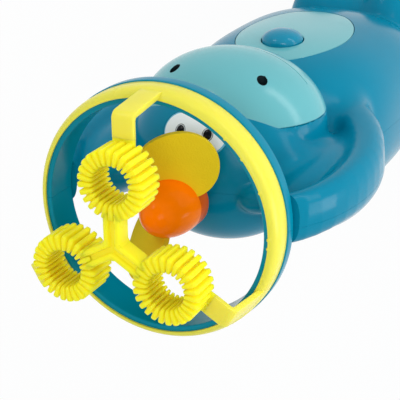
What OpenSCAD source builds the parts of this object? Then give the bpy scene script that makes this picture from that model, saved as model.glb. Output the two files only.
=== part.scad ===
// Bubble fan: an upright hippo figure whose raised arms hold a ring, with a bubble wand over a battery fan.
// The figure stands on the floor at z = 0, faces -Y and is split front from back along the plane y = 0.

/* [Figure] */
// Width of the torso
torso_w = 111; // [108:0.5:116]
// Depth of the torso from belly to back
torso_d = 89; // [87:0.5:94]
// Height of the torso
torso_h = 172; // [168:1:178]
// Height of the torso's middle above the floor
torso_z = 95; // [93:0.5:97]
// Squareness of the torso, where 2 is an ellipsoid
torso_power = 2.7; // [2.6:0.1:3]
// Width of the skull
skull_w = 90; // [86:1:94]
// Depth of the skull
skull_d = 76; // [74:1:80]
// Height of the skull
skull_h = 68; // [66:0.5:70]
// Height of the skull's middle above the floor
skull_z = 200; // [199:0.5:202]
// How far the skull sits in front of the ring's axis
skull_front = 6; // [4:0.5:8]
// Width of the muzzle
muzzle_w = 91; // [88:0.5:94]
// Depth of the whole muzzle ball, most of which lies inside the head
muzzle_d = 67; // [66:0.5:68]
// Height of the muzzle
muzzle_h = 76; // [74:0.5:78]
// Height of the muzzle's middle above the floor
muzzle_z = 188; // [187:0.5:189]
// How far the muzzle's middle sits in front of the ring's axis
muzzle_front = 20; // [19:0.5:20.5]
// How far in front of the ring's axis the muzzle cap starts
cap_front = 27; // [26:0.5:28]
// Width of one foot
foot_w = 42; // [40:1:44]
// Length of one foot
foot_l = 92; // [88:1:94]
// Height of one whole foot, before its sole is cut flat
foot_h = 42; // [40:1:46]
// Height of a foot's middle above the floor
foot_z = 14; // [12:0.5:16]
// How far the feet sit in front of the ring's axis
foot_front = 9; // [6:0.5:10]
// Width and height of an ear
ear_w = 20; // [17:0.5:22]
// Depth of an ear
ear_d = 16; // [14:0.5:18]
// Distance of an ear's middle from the middle of the head
ear_place = 28; // [26:0.5:30]
// Wall of the moulded shells
wall = 2.5; // [2.4:0.1:3]

/* [Arms] */
// Distance of the shoulder from the middle
shoulder_x = 30; // [28:0.5:32]
// Height of the shoulder
shoulder_z = 138; // [136:0.5:140]
// How far the elbow bows out from the middle
elbow_x = 72; // [70:0.5:74]
// Half thickness of the arm at the shoulder, seen from the front
shoulder_r = 11.4; // [10:0.2:12.5]
// Half thickness of the arm where it meets the ring, seen from the front
wrist_r = 4.4; // [4.2:0.1:5]
// Half depth of the arm at the shoulder
shoulder_depth = 12.5; // [11.5:0.5:14]
// Half depth of the arm at the ring
wrist_depth = 11; // [10:0.5:12]
// Width of the web between an arm and the head
web_w = 44; // [40:0.5:46]
// Depth of that web
web_d = 18; // [16:0.5:20]
// Height of that web
web_h = 84; // [80:1:88]

/* [Ring] */
// Outer diameter of the ring
ring_d = 113.6; // [110:0.2:118]
// Wall of the ring, from its bore to its outside
ring_wall = 6.2; // [5:0.1:7.5]
// Depth of the ring along its axis
ring_depth = 17; // [15:0.5:20]
// Height of the ring's back face above the floor
ring_z = 251; // [250:0.5:252]
// How far the ring's front neck, which the wand pushes over, steps in from the outside
ring_step = 2.4; // [1.8:0.1:3]
// Length of that neck
spigot_l = 9.2; // [6:0.2:12]
// Diameter of the dowels between the arms and the ring
dowel_d = 3; // [2:0.1:3.4]

/* [Wand] */
// Wall of the wand's hoop
hoop_wall = 1.75; // [1.4:0.05:2.3]
// How far the hoop's front lip reaches in over the ring's neck
lip_over = 1.4; // [0.8:0.1:2.4]
// Thickness of the hoop's front lip
hoop_lip = 1.2; // [0.8:0.1:2]
// Width of a strap
strap_w = 9.5; // [7:0.5:11]
// Thickness of a strap
strap_t = 2.3; // [1.8:0.1:3]
// How far the straps stand out from the ring's front face
strap_reach = 20.8; // [18:0.2:26]
// How far a strap leans in over its length
strap_lean = 2.2; // [1:0.1:5]
// Distance of a loop's middle from the ring's axis
loop_place = 27.2; // [26.5:0.1:28.5]
// Outer diameter of a ribbed loop
loop_d = 30; // [28:0.5:31]
// Diameter of the hole through a loop
loop_hole = 16; // [14:0.5:18]
// Length of a loop along the ring's axis
loop_l = 14.2; // [11:0.2:18]
// Depth of the ribs
rib_h = 2.4; // [1.6:0.1:2.8]
// Ribs around one loop
rib_count = 26; // [20:2:34]
// Width of a yoke leg
yoke_w = 7.4; // [5:0.2:8]
// Thickness of a yoke leg
yoke_t = 8; // [5:0.2:10]

/* [Fan] */
// How far the fan's axis sits behind the ring's axis
fan_back = 1.5; // [0:0.5:2]
// Diameter of the hub
hub_d = 26; // [24:0.5:28]
// Length of the hub's domed front
dome_l = 22; // [16:0.5:24]
// Length of the hub's rear collar
collar_l = 8; // [6:0.5:9]
// Height of the plane between the dome and the collar
hub_z = 248; // [247:0.5:249]
// Distance of a blade's tip from the fan's axis
blade_reach = 35; // [31:0.5:38]
// Width of a blade
blade_w = 35.6; // [30:0.2:40]
// Thickness of a blade
blade_t = 2.4; // [1.8:0.1:3]
// Pitch of a blade
blade_pitch = 20; // [10:1:22]
// Diameter of the motor shaft
shaft_d = 2; // [1.5:0.1:2.5]

/* [Motor] */
// Diameter of the motor can
motor_d = 20; // [18:0.5:21]
// Length of the motor can
motor_l = 25; // [22:0.5:28]
// Height of the can's top
motor_top = 223; // [221:0.5:224]
// Thickness of the saddle and the clamp
clamp_t = 3; // [2:0.2:3.6]

/* [Belly] */
// Width of the belly panel
panel_w = 57; // [54:0.5:60]
// Height of the belly panel
panel_h = 77; // [74:0.5:78]
// Height of the panel's middle
panel_z = 113.5; // [112:0.5:114]
// Thickness of the belly panel and of the battery door
panel_t = 2.2; // [1.8:0.1:2.3]
// Diameter of the push button
button_d = 21; // [18:0.5:22]
// Height of the push button
button_z = 128; // [126:0.5:129]
// How far the button stands out of the panel
button_out = 5.3; // [4:0.1:7]
// Travel of the push button
button_travel = 2.2; // [1:0.1:2.4]

/* [Batteries] */
// Diameter of a cell
cell_d = 14.2; // [13.5:0.1:14.5]
// Length of a cell with its nub
cell_l = 50.5; // [49:0.1:50.5]
// Distance between neighbouring cells
cell_pitch = 15.4; // [15:0.1:15.8]
// Height of the battery box's floor inside
box_z = 69; // [68:0.5:70]
// Length of the spring at one end of a cell
cell_spring_l = 6.3; // [5:0.1:8]
// Width of the battery door
door_w = 54; // [53:0.5:56]
// Height of the battery door
door_h = 78; // [76:0.5:80]
// Height of the door's lower edge
door_z = 64; // [62:0.5:64.5]

/* [Fits] */
// Gap between parts that are fixed together
fixed_gap = 0.1; // [0.05:0.01:0.15]
// Gap around parts that turn or slide
running_gap = 0.05; // [0.03:0.01:0.08]
// Gap between the edges of a cover and its opening
cover_gap = 0.2; // [0.15:0.01:0.3]

/* [Hidden] */

far = 200;
sides_large = 32;
sides_small = 20;
sides_post = 14;
ring_front_z = ring_z + ring_depth;
ring_bore = ring_d - 2 * ring_wall;
ring_mid_r = (ring_d + ring_bore) / 4;
spigot_d = ring_d - 2 * ring_step;
spigot_z = ring_front_z - spigot_l;
dowel_in = 4;
dowel_y = dowel_d * 1.5;

// Depth from the plane y = 0 to the torso's skin at one place
function torso_face(x, z) = torso_d / 2 * pow(max(0, 1 - pow(abs(x) / torso_w * 2, torso_power)
    - pow(abs(z - torso_z) / torso_h * 2, torso_power)), 1 / torso_power);
// Depth from the plane y = 0 to the muzzle's skin at one place
function muzzle_face(x, z) = muzzle_front + muzzle_d / 2
    * sqrt(max(0, 1 - pow(x / muzzle_w * 2, 2) - pow((z - muzzle_z) / muzzle_h * 2, 2)));
// Screw that holds plastic: pilot, clearance and head
screw_r = 1.25;
pilot_r = screw_r + fixed_gap;
clear_r = screw_r + 2 * fixed_gap;
head_r = 2.3;
head_h = 1.6;
post_r = 3.4;
screw_in = 7;
screw_spare = 1;
well_wall = 1.6;

// Nostrils, where the muzzle cap's two screws sit
nostril_x = 21.8;
nostril_z = 204.4;
nostril_r = head_r + fixed_gap;
nostril_in = 4;
nostril_floor = 1.9;
nostril_seat = muzzle_face(nostril_x, nostril_z) - nostril_in;
cap_t = 2.3;
cap_post_f = nostril_seat - nostril_floor;
web_t = 2;

// Eyes on the crown, tilted with the skin there
eye_z = 229.1;
eye_drop = (eye_z - skull_z) / skull_h * 2;
eye_y = -skull_front - skull_d / 2 * sqrt(1 - eye_drop * eye_drop);
eye_tilt = atan2((-eye_y - skull_front) / pow(skull_d / 2, 2), (eye_z - skull_z) / pow(skull_h / 2, 2));
eye_x = 6.7;
eye_r = 9;
eye_depth = 1.2;
pupil_x = 6.7;
pupil_r = 2.3;
pupil_long = 1.25;
pupil_depth = 0.7;
eye_proud = 0.3;
eye_reach = 8;

// Ledges behind the belly panel and the battery door
ledge_t = 2;
ledge_in = 3;
ledge_depth = panel_t + fixed_gap;
ledge_over = 4;
cover_start = 20;

// Button, its guide and its switch, as distances in front of the plane y = 0
flange_over = 1.3;
flange_r = button_d / 2 + flange_over;
flange_f = torso_face(flange_r, button_z + flange_r) - panel_t - 3 * fixed_gap;
flange_t = 1.4;
rim_in = 0.5;
button_rim_f = torso_face(0, button_z) - rim_in;
button_tip_f = torso_face(0, button_z) + button_out;
stem_r = 5;
guide_wall = 1.8;
guide_r = stem_r + running_gap;
plate_room = 5.2;
plate_f = flange_f - flange_t - button_travel - plate_room;
plate_t = 1.6;
plate_x = 20;
plate_z = 13;
guide_f = flange_f - flange_t - button_travel - 2 * fixed_gap;
stem_room = 0.8;
stem_f = plate_f + button_travel + stem_room;
plunger_r = 1.5;
switch_f = plate_f - plate_t;
switch_l = 8;
switch_w = 14;
switch_h = 8;
plunger_in = 3;
plunger_room = 0.5;
panel_post_x = 16;
panel_post_z = 8;
panel_post_r = 3;
small_screw_r = 1;
small_screw_in = 6;
small_head_r = 1.9;
small_head_h = 1.2;

// Spring under the button, a coil that the button presses flat
spring_wire_r = 0.45;
spring_room = 0.6;
spring_r = guide_r + guide_wall + spring_wire_r + spring_room;
spring_turns = 3;

// Battery box, cells and contacts
cell_r = cell_d / 2;
box_side = 0.9;
box_x = cell_pitch + cell_r + box_side;
box_wall = 1.6;
box_depth = 21;
box_floor_y = torso_d / 2 - box_depth;
cell_y = box_floor_y + cell_r + cover_gap;
contact_t = 0.5;
box_l = cell_l + cell_spring_l + 2 * contact_t + 2 * fixed_gap;
box_top = box_z + box_l;
contact_w = 11;
nub_r = 2.75;
nub_h = 1;
contact_wire_r = 0.45;
contact_spring_r = 3;
contact_turns = 3;
door_screw_z = (box_top + box_wall + door_z + door_h) / 2;
door_screw_in = 9;
door_floor = 1.3;
door_seat_y = torso_face(0, door_screw_z) - door_floor;

// Six screws that pull the back shell to the front shell, as [x, z]
shell_screw_places = [[34, 205], [38, 146], [42, 62]];
shell_seat_y = 8;
shell_pilot = 10;

// Fan and motor
shaft_r = shaft_d / 2;
blade_back = 0.5;
blade_z = hub_z - blade_back;
blade_half_l = 15;
tab_w = 8;
tab_in = 4.5;
fan_turn = 172;
shaft_out = 8;
shaft_top = hub_z + shaft_out;
seal_r = 4.9;
seal_clear = 0.08;
hub_clear = 0.02;
seal_flange_r = 6.5;
seal_flange_t = 1.4;
crown_z = skull_z + skull_h / 2;
seal_cut_z = crown_z - skull_h / 3;
seal_gap = 2;
seal_low = motor_top + seal_gap;
motor_low = motor_top - motor_l;
saddle_h = 18;
saddle_z = motor_top - motor_l / 2 - saddle_h / 2;
lug_l = 9;
lug_h = 8;
lug_x = motor_d / 2 + clamp_t + lug_l;
clamp_screw_x = lug_x - lug_l / 2;
clamp_screw_z = saddle_z + saddle_h / 2;
lug_t = 4.3;
terminal_x = 5;
terminal_w = 2;
terminal_t = 0.6;
terminal_l = 2;
bearing_r = 3;
bearing_l = 1;
shaft_floor = 4;

// Wand
hoop_bore_r = spigot_d / 2 + running_gap;
hoop_d = 2 * (hoop_bore_r + hoop_wall);
hoop_lip_d = spigot_d - 2 * lip_over;
lip_z = ring_front_z + running_gap;
hoop_z = spigot_z + fixed_gap;
strap_top = ring_front_z + strap_reach + strap_t;
loop_z = ring_front_z + strap_reach;
loop_r = loop_d / 2;
joint_l = 1.3;
joint_out = loop_place + loop_r + joint_l;
joint_in = loop_place - loop_r - joint_l;
strap_inset = 0.3;
strap_root = 3;
rib_bite = 1.5;
yoke_z = loop_z + loop_l - yoke_t;
groove_w = 2.6;
groove_in = 1.4;
wand_angles = [-90, 30, 150];

// Routes of the three leads inside the figure
lead_r = 0.8;
lead_battery_route = [[10, 23, 121], [10, 20, 121], [10, 14, 123], [9, 5, 126], [6, -6, 128], [4, -13, 128],
    [4, -17, 128], [4, -20, 128]];
lead_switch_route = [[-4, -20, 128], [-4, -17, 128], [-4, -13, 131], [-3, -9, 142], [0, -6, 158],
    [3, -2, 176],
    [terminal_x, 1, 188], [terminal_x, fan_back, 192], [terminal_x, fan_back, 195.5]];
lead_motor_route = [[-10, 23, 121], [-10, 20, 121], [-10, 16, 126], [-9, 11, 142], [-7, 7, 162], [-6, 3, 180],
    [-terminal_x, fan_back, 188], [-terminal_x, fan_back, 192], [-terminal_x, fan_back, 195.5]];

// Shapes shared by several pieces

function unit(v) = v / norm(v);

// Middle of the web between an arm and the head, and how the ears sit on the head
web_out = 5;
web_back = 2;
web_drop = 10;
web_place = [skull_w / 2 + web_out, web_back, skull_z - web_drop];
ear_back = 2;
ear_rise = 22;

// Skin of a closed band of rings, each with the same number of points
function band_faces(rings, sides) = [for (i = [0:rings - 2], j = [0:sides - 1], half = [0, 1])
    let (a = i * sides + j, b = i * sides + (j + 1) % sides)
    half == 0 ? [a, a + sides, b + sides] : [a, b + sides, b]];

module closed_band(rings_of_points) {
    rings = len(rings_of_points);
    sides = len(rings_of_points[0]);
    last = (rings - 1) * sides;
    start_cap = [for (j = [1:sides - 2]) [0, j, j + 1]];
    end_cap = [for (j = [1:sides - 2]) [last, last + j + 1, last + j]];
    polyhedron([for (ring = rings_of_points, p = ring) p],
        concat(band_faces(rings, sides), start_cap, end_cap));
}

// Tube of one radius along a list of points, square to the reference direction
module tube(path, radius, sides, reference) {
    last = len(path) - 1;
    closed_band([for (i = [0:last])
        let (t = unit(path[min(i + 1, last)] - path[max(i - 1, 0)]),
            u = unit(cross(t, reference)),
            v = cross(t, u))
        [for (j = [0:sides - 1]) path[i] + radius * (cos(360 * j / sides) * u + sin(360 * j / sides) * v)]]);
}

// Coil of round wire about the Z axis
module coil(mean_r, wire_r, turns, height) {
    steps = 8;
    tube([for (i = [0:turns * steps]) [mean_r * cos(360 * i / steps), mean_r * sin(360 * i / steps),
        wire_r + (height - 2 * wire_r) * i / (turns * steps)]], wire_r, 6, [0, 0, 1]);
}

// Point of a rounded mass in one direction
function mass_point(semi, power, lat, lon) =
    let (d = [cos(lat) * cos(lon), cos(lat) * sin(lon), sin(lat)],
        k = pow(pow(abs(d.x), power) + pow(abs(d.y), power) + pow(abs(d.z), power), -1 / power))
    [semi.x * d.x * k, semi.y * d.y * k, semi.z * d.z * k];

// Rounded mass about its own middle: an ellipsoid at power 2, squarer above; every other row is
// turned by half a step, so that no two of its triangles lie in one plane
module mass(semi, power, sides) {
    rows = sides / 2 - 1;
    top = rows * sides + 1;
    polyhedron(
        concat([[0, 0, -semi.z]],
            [for (i = [1:rows], j = [0:sides - 1])
                mass_point(semi, power, -90 + 180 * i / (rows + 1), 360 * (j + i % 2 / 2) / sides)],
            [[0, 0, semi.z]]),
        concat([for (j = [0:sides - 1]) [0, 1 + j, 1 + (j + 1) % sides]],
            [for (i = [0:rows - 2], j = [0:sides - 1], half = [0, 1])
                let (low = 1 + i * sides,
                    high = low + sides,
                    next = (j + 1) % sides,
                    low_turned = i % 2 == 0)
                half == 0 ? [low + j, high + (low_turned ? next : j), low + next]
                    : [high + j, high + next, low + (low_turned ? j : next)]],
            [for (j = [0:sides - 1]) [top, top - sides + (j + 1) % sides, top - sides + j]]));
}

module torso(inset, sides = sides_large) {
    translate([0, 0, torso_z])
        mass([torso_w / 2 - inset, torso_d / 2 - inset, torso_h / 2 - inset], torso_power, sides);
}

module skull(inset, sides = sides_large) {
    translate([0, -skull_front, skull_z])
        mass([skull_w / 2 - inset, skull_d / 2 - inset, skull_h / 2 - inset], 2, sides);
}

module muzzle(inset, sides = sides_large) {
    translate([0, -muzzle_front, muzzle_z])
        mass([muzzle_w / 2 - inset, muzzle_d / 2 - inset, muzzle_h / 2 - inset], 2, sides);
}

module feet(inset) {
    for (side = [-1, 1])
        translate([side * foot_w / 2, -foot_front, foot_z])
            mass([foot_w / 2 - inset, foot_l / 2 - inset, foot_h / 2 - inset], 2, sides_small);
}

// Middle line of the right arm, a curve from the shoulder over the elbow to the ring
shoulder_front = 13;
elbow_front = 8;
wrist_front = 3;
elbow_rise = 22;
forearm_l = 29;
forearm_bow = 3;
arm_line = [[shoulder_x, -shoulder_front, shoulder_z], [elbow_x, -elbow_front, shoulder_z + elbow_rise],
    [elbow_x + forearm_bow, -wrist_front, ring_z - forearm_l], [ring_mid_r, -wrist_front, ring_z]];
function arm_point(t) = pow(1 - t, 3) * arm_line[0] + 3 * pow(1 - t, 2) * t * arm_line[1]
    + 3 * (1 - t) * t * t * arm_line[2] + t * t * t * arm_line[3];

// One arm as far as the given share of its line
module arm(inset, reach) {
    steps = 12;
    sides = 14;
    closed_band([for (i = [0:steps])
        let (t = reach * i / steps,
            p = arm_point(t),
            along = unit(arm_point(t + 0.01) - arm_point(t - 0.01)),
            across = unit(cross([0, 1, 0], along)),
            left = max(0, 1 - t),
            half_w = wrist_r + (shoulder_r - wrist_r) * pow(left, 0.8) - inset,
            half_d = wrist_depth + (shoulder_depth - wrist_depth) * left - inset)
        [for (j = [0:sides - 1])
            p + half_w * cos(360 * j / sides) * across + half_d * sin(360 * j / sides) * [0, 1, 0]]]);
}

// Both arms, with the web that joins each to the side of the head
module arms(inset) {
    reach = inset > 0 ? 0.9 : 1.08;
    for (side = [0, 1])
        mirror([side, 0, 0]) {
            arm(inset, reach);
            translate(web_place)
                mass([web_w / 2 - inset, web_d / 2 - inset, web_h / 2 - inset], 2, sides_small);
        }
}

// Round ears high on the sides of the head
module ears(inset) {
    for (side = [-1, 1])
        translate([side * ear_place, ear_back, skull_z + ear_rise])
            mass([ear_w / 2 - inset, ear_d / 2 - inset, ear_w / 2 - inset], 2, sides_small);
}

// Whole figure, drawn in by the inset; its sole is flat and its wrists stop at the ring
module figure(inset) {
    sides = inset > 0 ? sides_small : sides_large;
    intersection() {
        union() {
            torso(inset, sides);
            skull(inset, sides);
            muzzle(inset, sides);
            feet(inset);
            ears(inset);
            arms(inset);
        }
        translate([-far / 2, -far / 2, inset])
            cube([far, far, ring_z - fixed_gap - inset]);
    }
}

// Joins skins, bosses and cuts into one moulded piece
module moulding() {
    resize([0, 0, 0])
        union()
            children();
}

// Space in front of the plane y = 0, or behind it
module front_space() {
    translate([-far / 2, -far, -far / 2])
        cube([far, far - fixed_gap / 2, 3 * far]);
}
module back_space() {
    translate([-far / 2, fixed_gap / 2, -far / 2])
        cube([far, far, 3 * far]);
}

// Room that the muzzle cap takes, with its gap
module cap_room() {
    intersection() {
        muzzle(-fixed_gap);
        translate([-far / 2, -far - cap_front, 0])
            cube([far, far, 2 * far]);
    }
}

// Round bar along Y, from one distance in front of the plane y = 0 to another
module bar(x, z, from_f, to_f, r, sides = sides_post) {
    translate([x, -from_f, z])
        rotate([90, 0, 0])
            cylinder(h = to_f - from_f, r = r, $fn = sides);
}

// Oval that runs from front to back through the belly, grown by a margin
module panel_oval(margin) {
    translate([0, 0, panel_z])
        rotate([90, 0, 0])
            linear_extrude(far)
                scale([panel_w / 2 + margin, panel_h / 2 + margin])
                    circle(r = 1, $fn = 48);
}

// Block that runs through the back where the battery door sits, grown by a margin
module door_block(margin) {
    translate([-door_w / 2 - margin, cover_start, door_z - margin])
        cube([door_w + 2 * margin, far, door_h + 2 * margin]);
}

// Two joined round eyes, as a column square to the crown
module eye_columns(r) {
    translate([0, eye_y, eye_z])
        rotate([eye_tilt, 0, 0])
            hull()
                for (side = [-1, 1])
                    translate([side * eye_x, 0, -eye_reach])
                        cylinder(h = 2 * eye_reach, r = r, $fn = sides_large);
}

module pupil_columns(r) {
    translate([0, eye_y, eye_z])
        rotate([eye_tilt, 0, 0])
            for (side = [-1, 1])
                translate([side * pupil_x, 0, -eye_reach])
                    linear_extrude(2 * eye_reach)
                        scale([r, r * pupil_long])
                            circle(r = 1, $fn = sides_small);
}

// Places of the shell screws on both sides
module at_shell_screws() {
    for (side = [-1, 1], place = shell_screw_places)
        translate([side * place.x, 0, place.y])
            children();
}

// Shells of the figure

module front_shell() color("#0591b9") moulding() {
    difference() {
        union() {
            difference() {
                intersection() {
                    union() {
                        difference() {
                            figure(0);
                            figure(wall);
                        }
                        intersection() {
                            figure(wall / 2);
                            at_shell_screws()
                                bar(0, 0, 0, far, post_r);
                        }
                        intersection() {
                            difference() {
                                torso(wall / 2);
                                torso(ledge_depth + ledge_t);
                            }
                            panel_oval(ledge_over);
                        }
                    }
                    front_space();
                }
                cap_room();
            }
            intersection() {
                muzzle(wall / 2);
                translate([-far / 2, -cap_front, 0])
                    cube([far, web_t, 2 * far]);
            }
            for (side = [-1, 1])
                bar(side * nostril_x, nostril_z, cap_front - web_t / 2, cap_post_f, post_r);
        }
        intersection() {
            difference() {
                torso(-1);
                torso(ledge_depth);
            }
            panel_oval(cover_gap);
        }
        intersection() {
            panel_oval(-ledge_in);
            translate([-far / 2, -far - cover_start, 0])
                cube([far, far, 2 * far]);
        }
        difference() {
            eye_columns(eye_r + fixed_gap);
            skull(eye_depth + fixed_gap);
        }
        for (side = [-1, 1])
            bar(side * nostril_x, nostril_z, cap_post_f - screw_in - screw_spare, cap_post_f + screw_spare,
                pilot_r);
        at_shell_screws()
            bar(0, 0, -1, shell_pilot, pilot_r);
        for (side = [-1, 1])
            translate([side * ring_mid_r, -dowel_y, ring_z - dowel_in])
                cylinder(h = 2 * dowel_in, r = dowel_d / 2 + fixed_gap, $fn = sides_post);
        translate([0, fan_back, seal_cut_z])
            cylinder(h = far, r = seal_r + fixed_gap, $fn = sides_large);
    }
}

module back_shell() color("#0591b9") moulding() {
    difference() {
        intersection() {
            union() {
                difference() {
                    figure(0);
                    figure(wall);
                }
                intersection() {
                    figure(wall / 2);
                    union() {
                        at_shell_screws()
                            bar(0, 0, -far, 0, head_r + fixed_gap + well_wall);
                        for (side = [-1, 1])
                            bar(side * clamp_screw_x, clamp_screw_z, -far, -fan_back - lug_t - fixed_gap,
                                post_r);
                    }
                }
                intersection() {
                    torso(wall / 2);
                    union() {
                        difference() {
                            door_block(ledge_over);
                            torso(ledge_depth + ledge_t);
                        }
                        translate([-box_x - box_wall, box_floor_y - box_wall, box_z - box_wall])
                            cube([2 * (box_x + box_wall), far, box_l + 2 * box_wall]);
                        bar(0, door_screw_z, -far, -door_seat_y + door_screw_in + wall, post_r);
                    }
                }
            }
            back_space();
        }
        intersection() {
            difference() {
                torso(-1);
                torso(ledge_depth);
            }
            door_block(cover_gap);
        }
        translate([-box_x, box_floor_y, box_z])
            cube([2 * box_x, far, box_l]);
        bar(0, door_screw_z, -far, -door_seat_y + door_screw_in + screw_spare, pilot_r);
        at_shell_screws() {
            bar(0, 0, -far, -shell_seat_y, head_r + fixed_gap);
            bar(0, 0, -far, 1, clear_r);
        }
        for (side = [-1, 1]) {
            bar(side * clamp_screw_x, clamp_screw_z, -fan_back - lug_t - screw_in - screw_spare, 0, pilot_r);
            translate([side * ring_mid_r, dowel_y, ring_z - dowel_in])
                cylinder(h = 2 * dowel_in, r = dowel_d / 2 + fixed_gap, $fn = sides_post);
        }
        for (route = [lead_battery_route, lead_motor_route])
            bar(route[0].x, route[0].z, -box_floor_y - 1, 0, lead_r + 2 * fixed_gap);
        translate([0, fan_back, seal_cut_z])
            cylinder(h = far, r = seal_r + fixed_gap, $fn = sides_large);
    }
}

// Ring with the step that carries the wand; each half takes two dowels from the arms

module ring_half(side) {
    difference() {
        rotate([0, 0, side < 0 ? 180 : 0])
            rotate_extrude(angle = 180, $fn = 96)
                polygon([[ring_bore / 2, ring_z], [ring_d / 2, ring_z], [ring_d / 2, spigot_z],
                    [spigot_d / 2, spigot_z], [spigot_d / 2, ring_front_z], [ring_bore / 2, ring_front_z]]);
        for (x = [-1, 1])
            translate([x * ring_mid_r, side * dowel_y, ring_z - dowel_in])
                cylinder(h = 2 * dowel_in, r = dowel_d / 2 + fixed_gap, $fn = 32);
    }
}

module ring_front() color("#0591b9") ring_half(-1);

module ring_back() color("#0591b9") ring_half(1);

module ring_dowels() color("#0a7f9c") {
    for (x = [-1, 1], y = [-1, 1])
        translate([x * ring_mid_r, y * dowel_y, ring_z - dowel_in + fixed_gap])
            cylinder(h = 2 * (dowel_in - fixed_gap), r = dowel_d / 2, $fn = 32);
}

// Muzzle cap, its two screws in the nostrils, and the eyes

module muzzle_cap() color("#6cc0c8") moulding() {
    difference() {
        intersection() {
            union() {
                difference() {
                    muzzle(0);
                    muzzle(cap_t);
                }
                intersection() {
                    muzzle(cap_t / 2);
                    for (side = [-1, 1])
                        bar(side * nostril_x, nostril_z, cap_post_f + fixed_gap, far, nostril_r + well_wall);
                }
            }
            translate([-far / 2, -far - cap_front - fixed_gap, 0])
                cube([far, far, 2 * far]);
        }
        for (side = [-1, 1]) {
            bar(side * nostril_x, nostril_z, nostril_seat, far, nostril_r);
            bar(side * nostril_x, nostril_z, 0, far, clear_r);
        }
    }
}

module muzzle_screws() color("silver") {
    for (side = [-1, 1]) {
        bar(side * nostril_x, nostril_z, nostril_seat, nostril_seat + head_h, head_r);
        bar(side * nostril_x, nostril_z, cap_post_f - screw_in, nostril_seat, screw_r);
    }
}

module eye_plate() color("white") moulding() {
    difference() {
        intersection() {
            difference() {
                skull(-eye_proud);
                skull(eye_depth);
            }
            eye_columns(eye_r);
        }
        difference() {
            pupil_columns(pupil_r + fixed_gap);
            skull(pupil_depth);
        }
        cap_room();
    }
}

module pupils() color("black") moulding() {
    difference() {
        intersection() {
            difference() {
                skull(-eye_proud);
                skull(pupil_depth - fixed_gap);
            }
            pupil_columns(pupil_r);
        }
        cap_room();
    }
}

// Belly panel with its push button and the switch behind

module belly_panel() color("#6cc0c8") moulding() {
    difference() {
        intersection() {
            union() {
                difference() {
                    torso(0);
                    torso(panel_t);
                }
                intersection() {
                    torso(panel_t / 2);
                    for (x = [-1, 1], z = [-1, 1])
                        bar(x * panel_post_x, button_z + z * panel_post_z, plate_f + fixed_gap, far,
                            panel_post_r);
                }
            }
            panel_oval(0);
        }
        bar(0, button_z, 0, far, button_d / 2 + 2 * cover_gap, sides_large);
        for (x = [-1, 1], z = [-1, 1])
            bar(x * panel_post_x, button_z + z * panel_post_z, 0, plate_f + small_screw_in + screw_spare,
                small_screw_r + fixed_gap);
    }
}

module push_button() color("#0a9ac4") {
    dome_h = button_tip_f - button_rim_f;
    steps = 8;
    translate([0, 0, button_z])
        rotate([90, 0, 0])
            rotate_extrude($fn = 64)
                polygon(concat([[0, stem_f], [stem_r, stem_f], [stem_r, flange_f - flange_t],
                    [flange_r, flange_f - flange_t], [flange_r, flange_f], [button_d / 2, flange_f]],
                    [for (i = [0:steps]) let (a = 90 * i / steps)
                        [button_d / 2 * cos(a), button_rim_f + dome_h * sin(a)]]));
}

module button_spring() color("silver") {
    translate([0, -plate_f - fixed_gap, button_z])
        rotate([90, 0, 0])
            coil(spring_r, spring_wire_r, spring_turns, flange_f - flange_t - plate_f - 2 * fixed_gap);
}

module switch_plunger() color("white") {
    bar(0, button_z, switch_f - plunger_in, stem_f, plunger_r, 32);
}

module switch_body() color("#202224") {
    difference() {
        translate([-switch_w / 2, -switch_f, button_z - switch_h / 2])
            cube([switch_w, switch_l, switch_h]);
        bar(0, button_z, switch_f - plunger_in - button_travel - plunger_room, switch_f + 1,
            plunger_r + running_gap, 32);
    }
}

module switch_plate() color("#d8d8d0") {
    difference() {
        union() {
            translate([-plate_x, -plate_f, button_z - plate_z])
                cube([2 * plate_x, plate_t, 2 * plate_z]);
            bar(0, button_z, plate_f, guide_f, guide_r + guide_wall, 64);
        }
        bar(0, button_z, plate_f, guide_f + 1, guide_r, 64);
        bar(0, button_z, switch_f - 1, plate_f + 1, plunger_r + plunger_room, 32);
        for (x = [-1, 1], z = [-1, 1])
            bar(x * panel_post_x, button_z + z * panel_post_z, switch_f - 1, plate_f + 1,
                small_screw_r + fixed_gap, 32);
    }
}

module plate_screws() color("silver") {
    for (x = [-1, 1], z = [-1, 1]) {
        bar(x * panel_post_x, button_z + z * panel_post_z, switch_f, plate_f + small_screw_in, small_screw_r,
            32);
        bar(x * panel_post_x, button_z + z * panel_post_z, switch_f - small_head_h, switch_f,
            small_head_r, 32);
    }
}

// Motor in its saddle, with the clamp that two long screws pull onto the back shell's posts

module motor() color("silver") {
    translate([0, fan_back, 0])
        difference() {
            union() {
                translate([0, 0, motor_low])
                    cylinder(h = motor_l, r = motor_d / 2, $fn = 64);
                translate([0, 0, motor_top - bearing_l])
                    cylinder(h = 2 * bearing_l, r = bearing_r, $fn = 48);
                for (side = [-1, 1])
                    translate([side * terminal_x - terminal_w / 2, -terminal_t / 2, motor_low - terminal_l])
                        cube([terminal_w, terminal_t, terminal_l + 1]);
            }
            translate([0, 0, motor_low + shaft_floor])
                cylinder(h = motor_l, r = shaft_r + running_gap, $fn = 32);
        }
}

module motor_shaft() color("#c8ccd0") {
    translate([0, fan_back, motor_low + shaft_floor + fixed_gap])
        cylinder(h = shaft_top - motor_low - shaft_floor - fixed_gap, r = shaft_r, $fn = 32);
}

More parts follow.
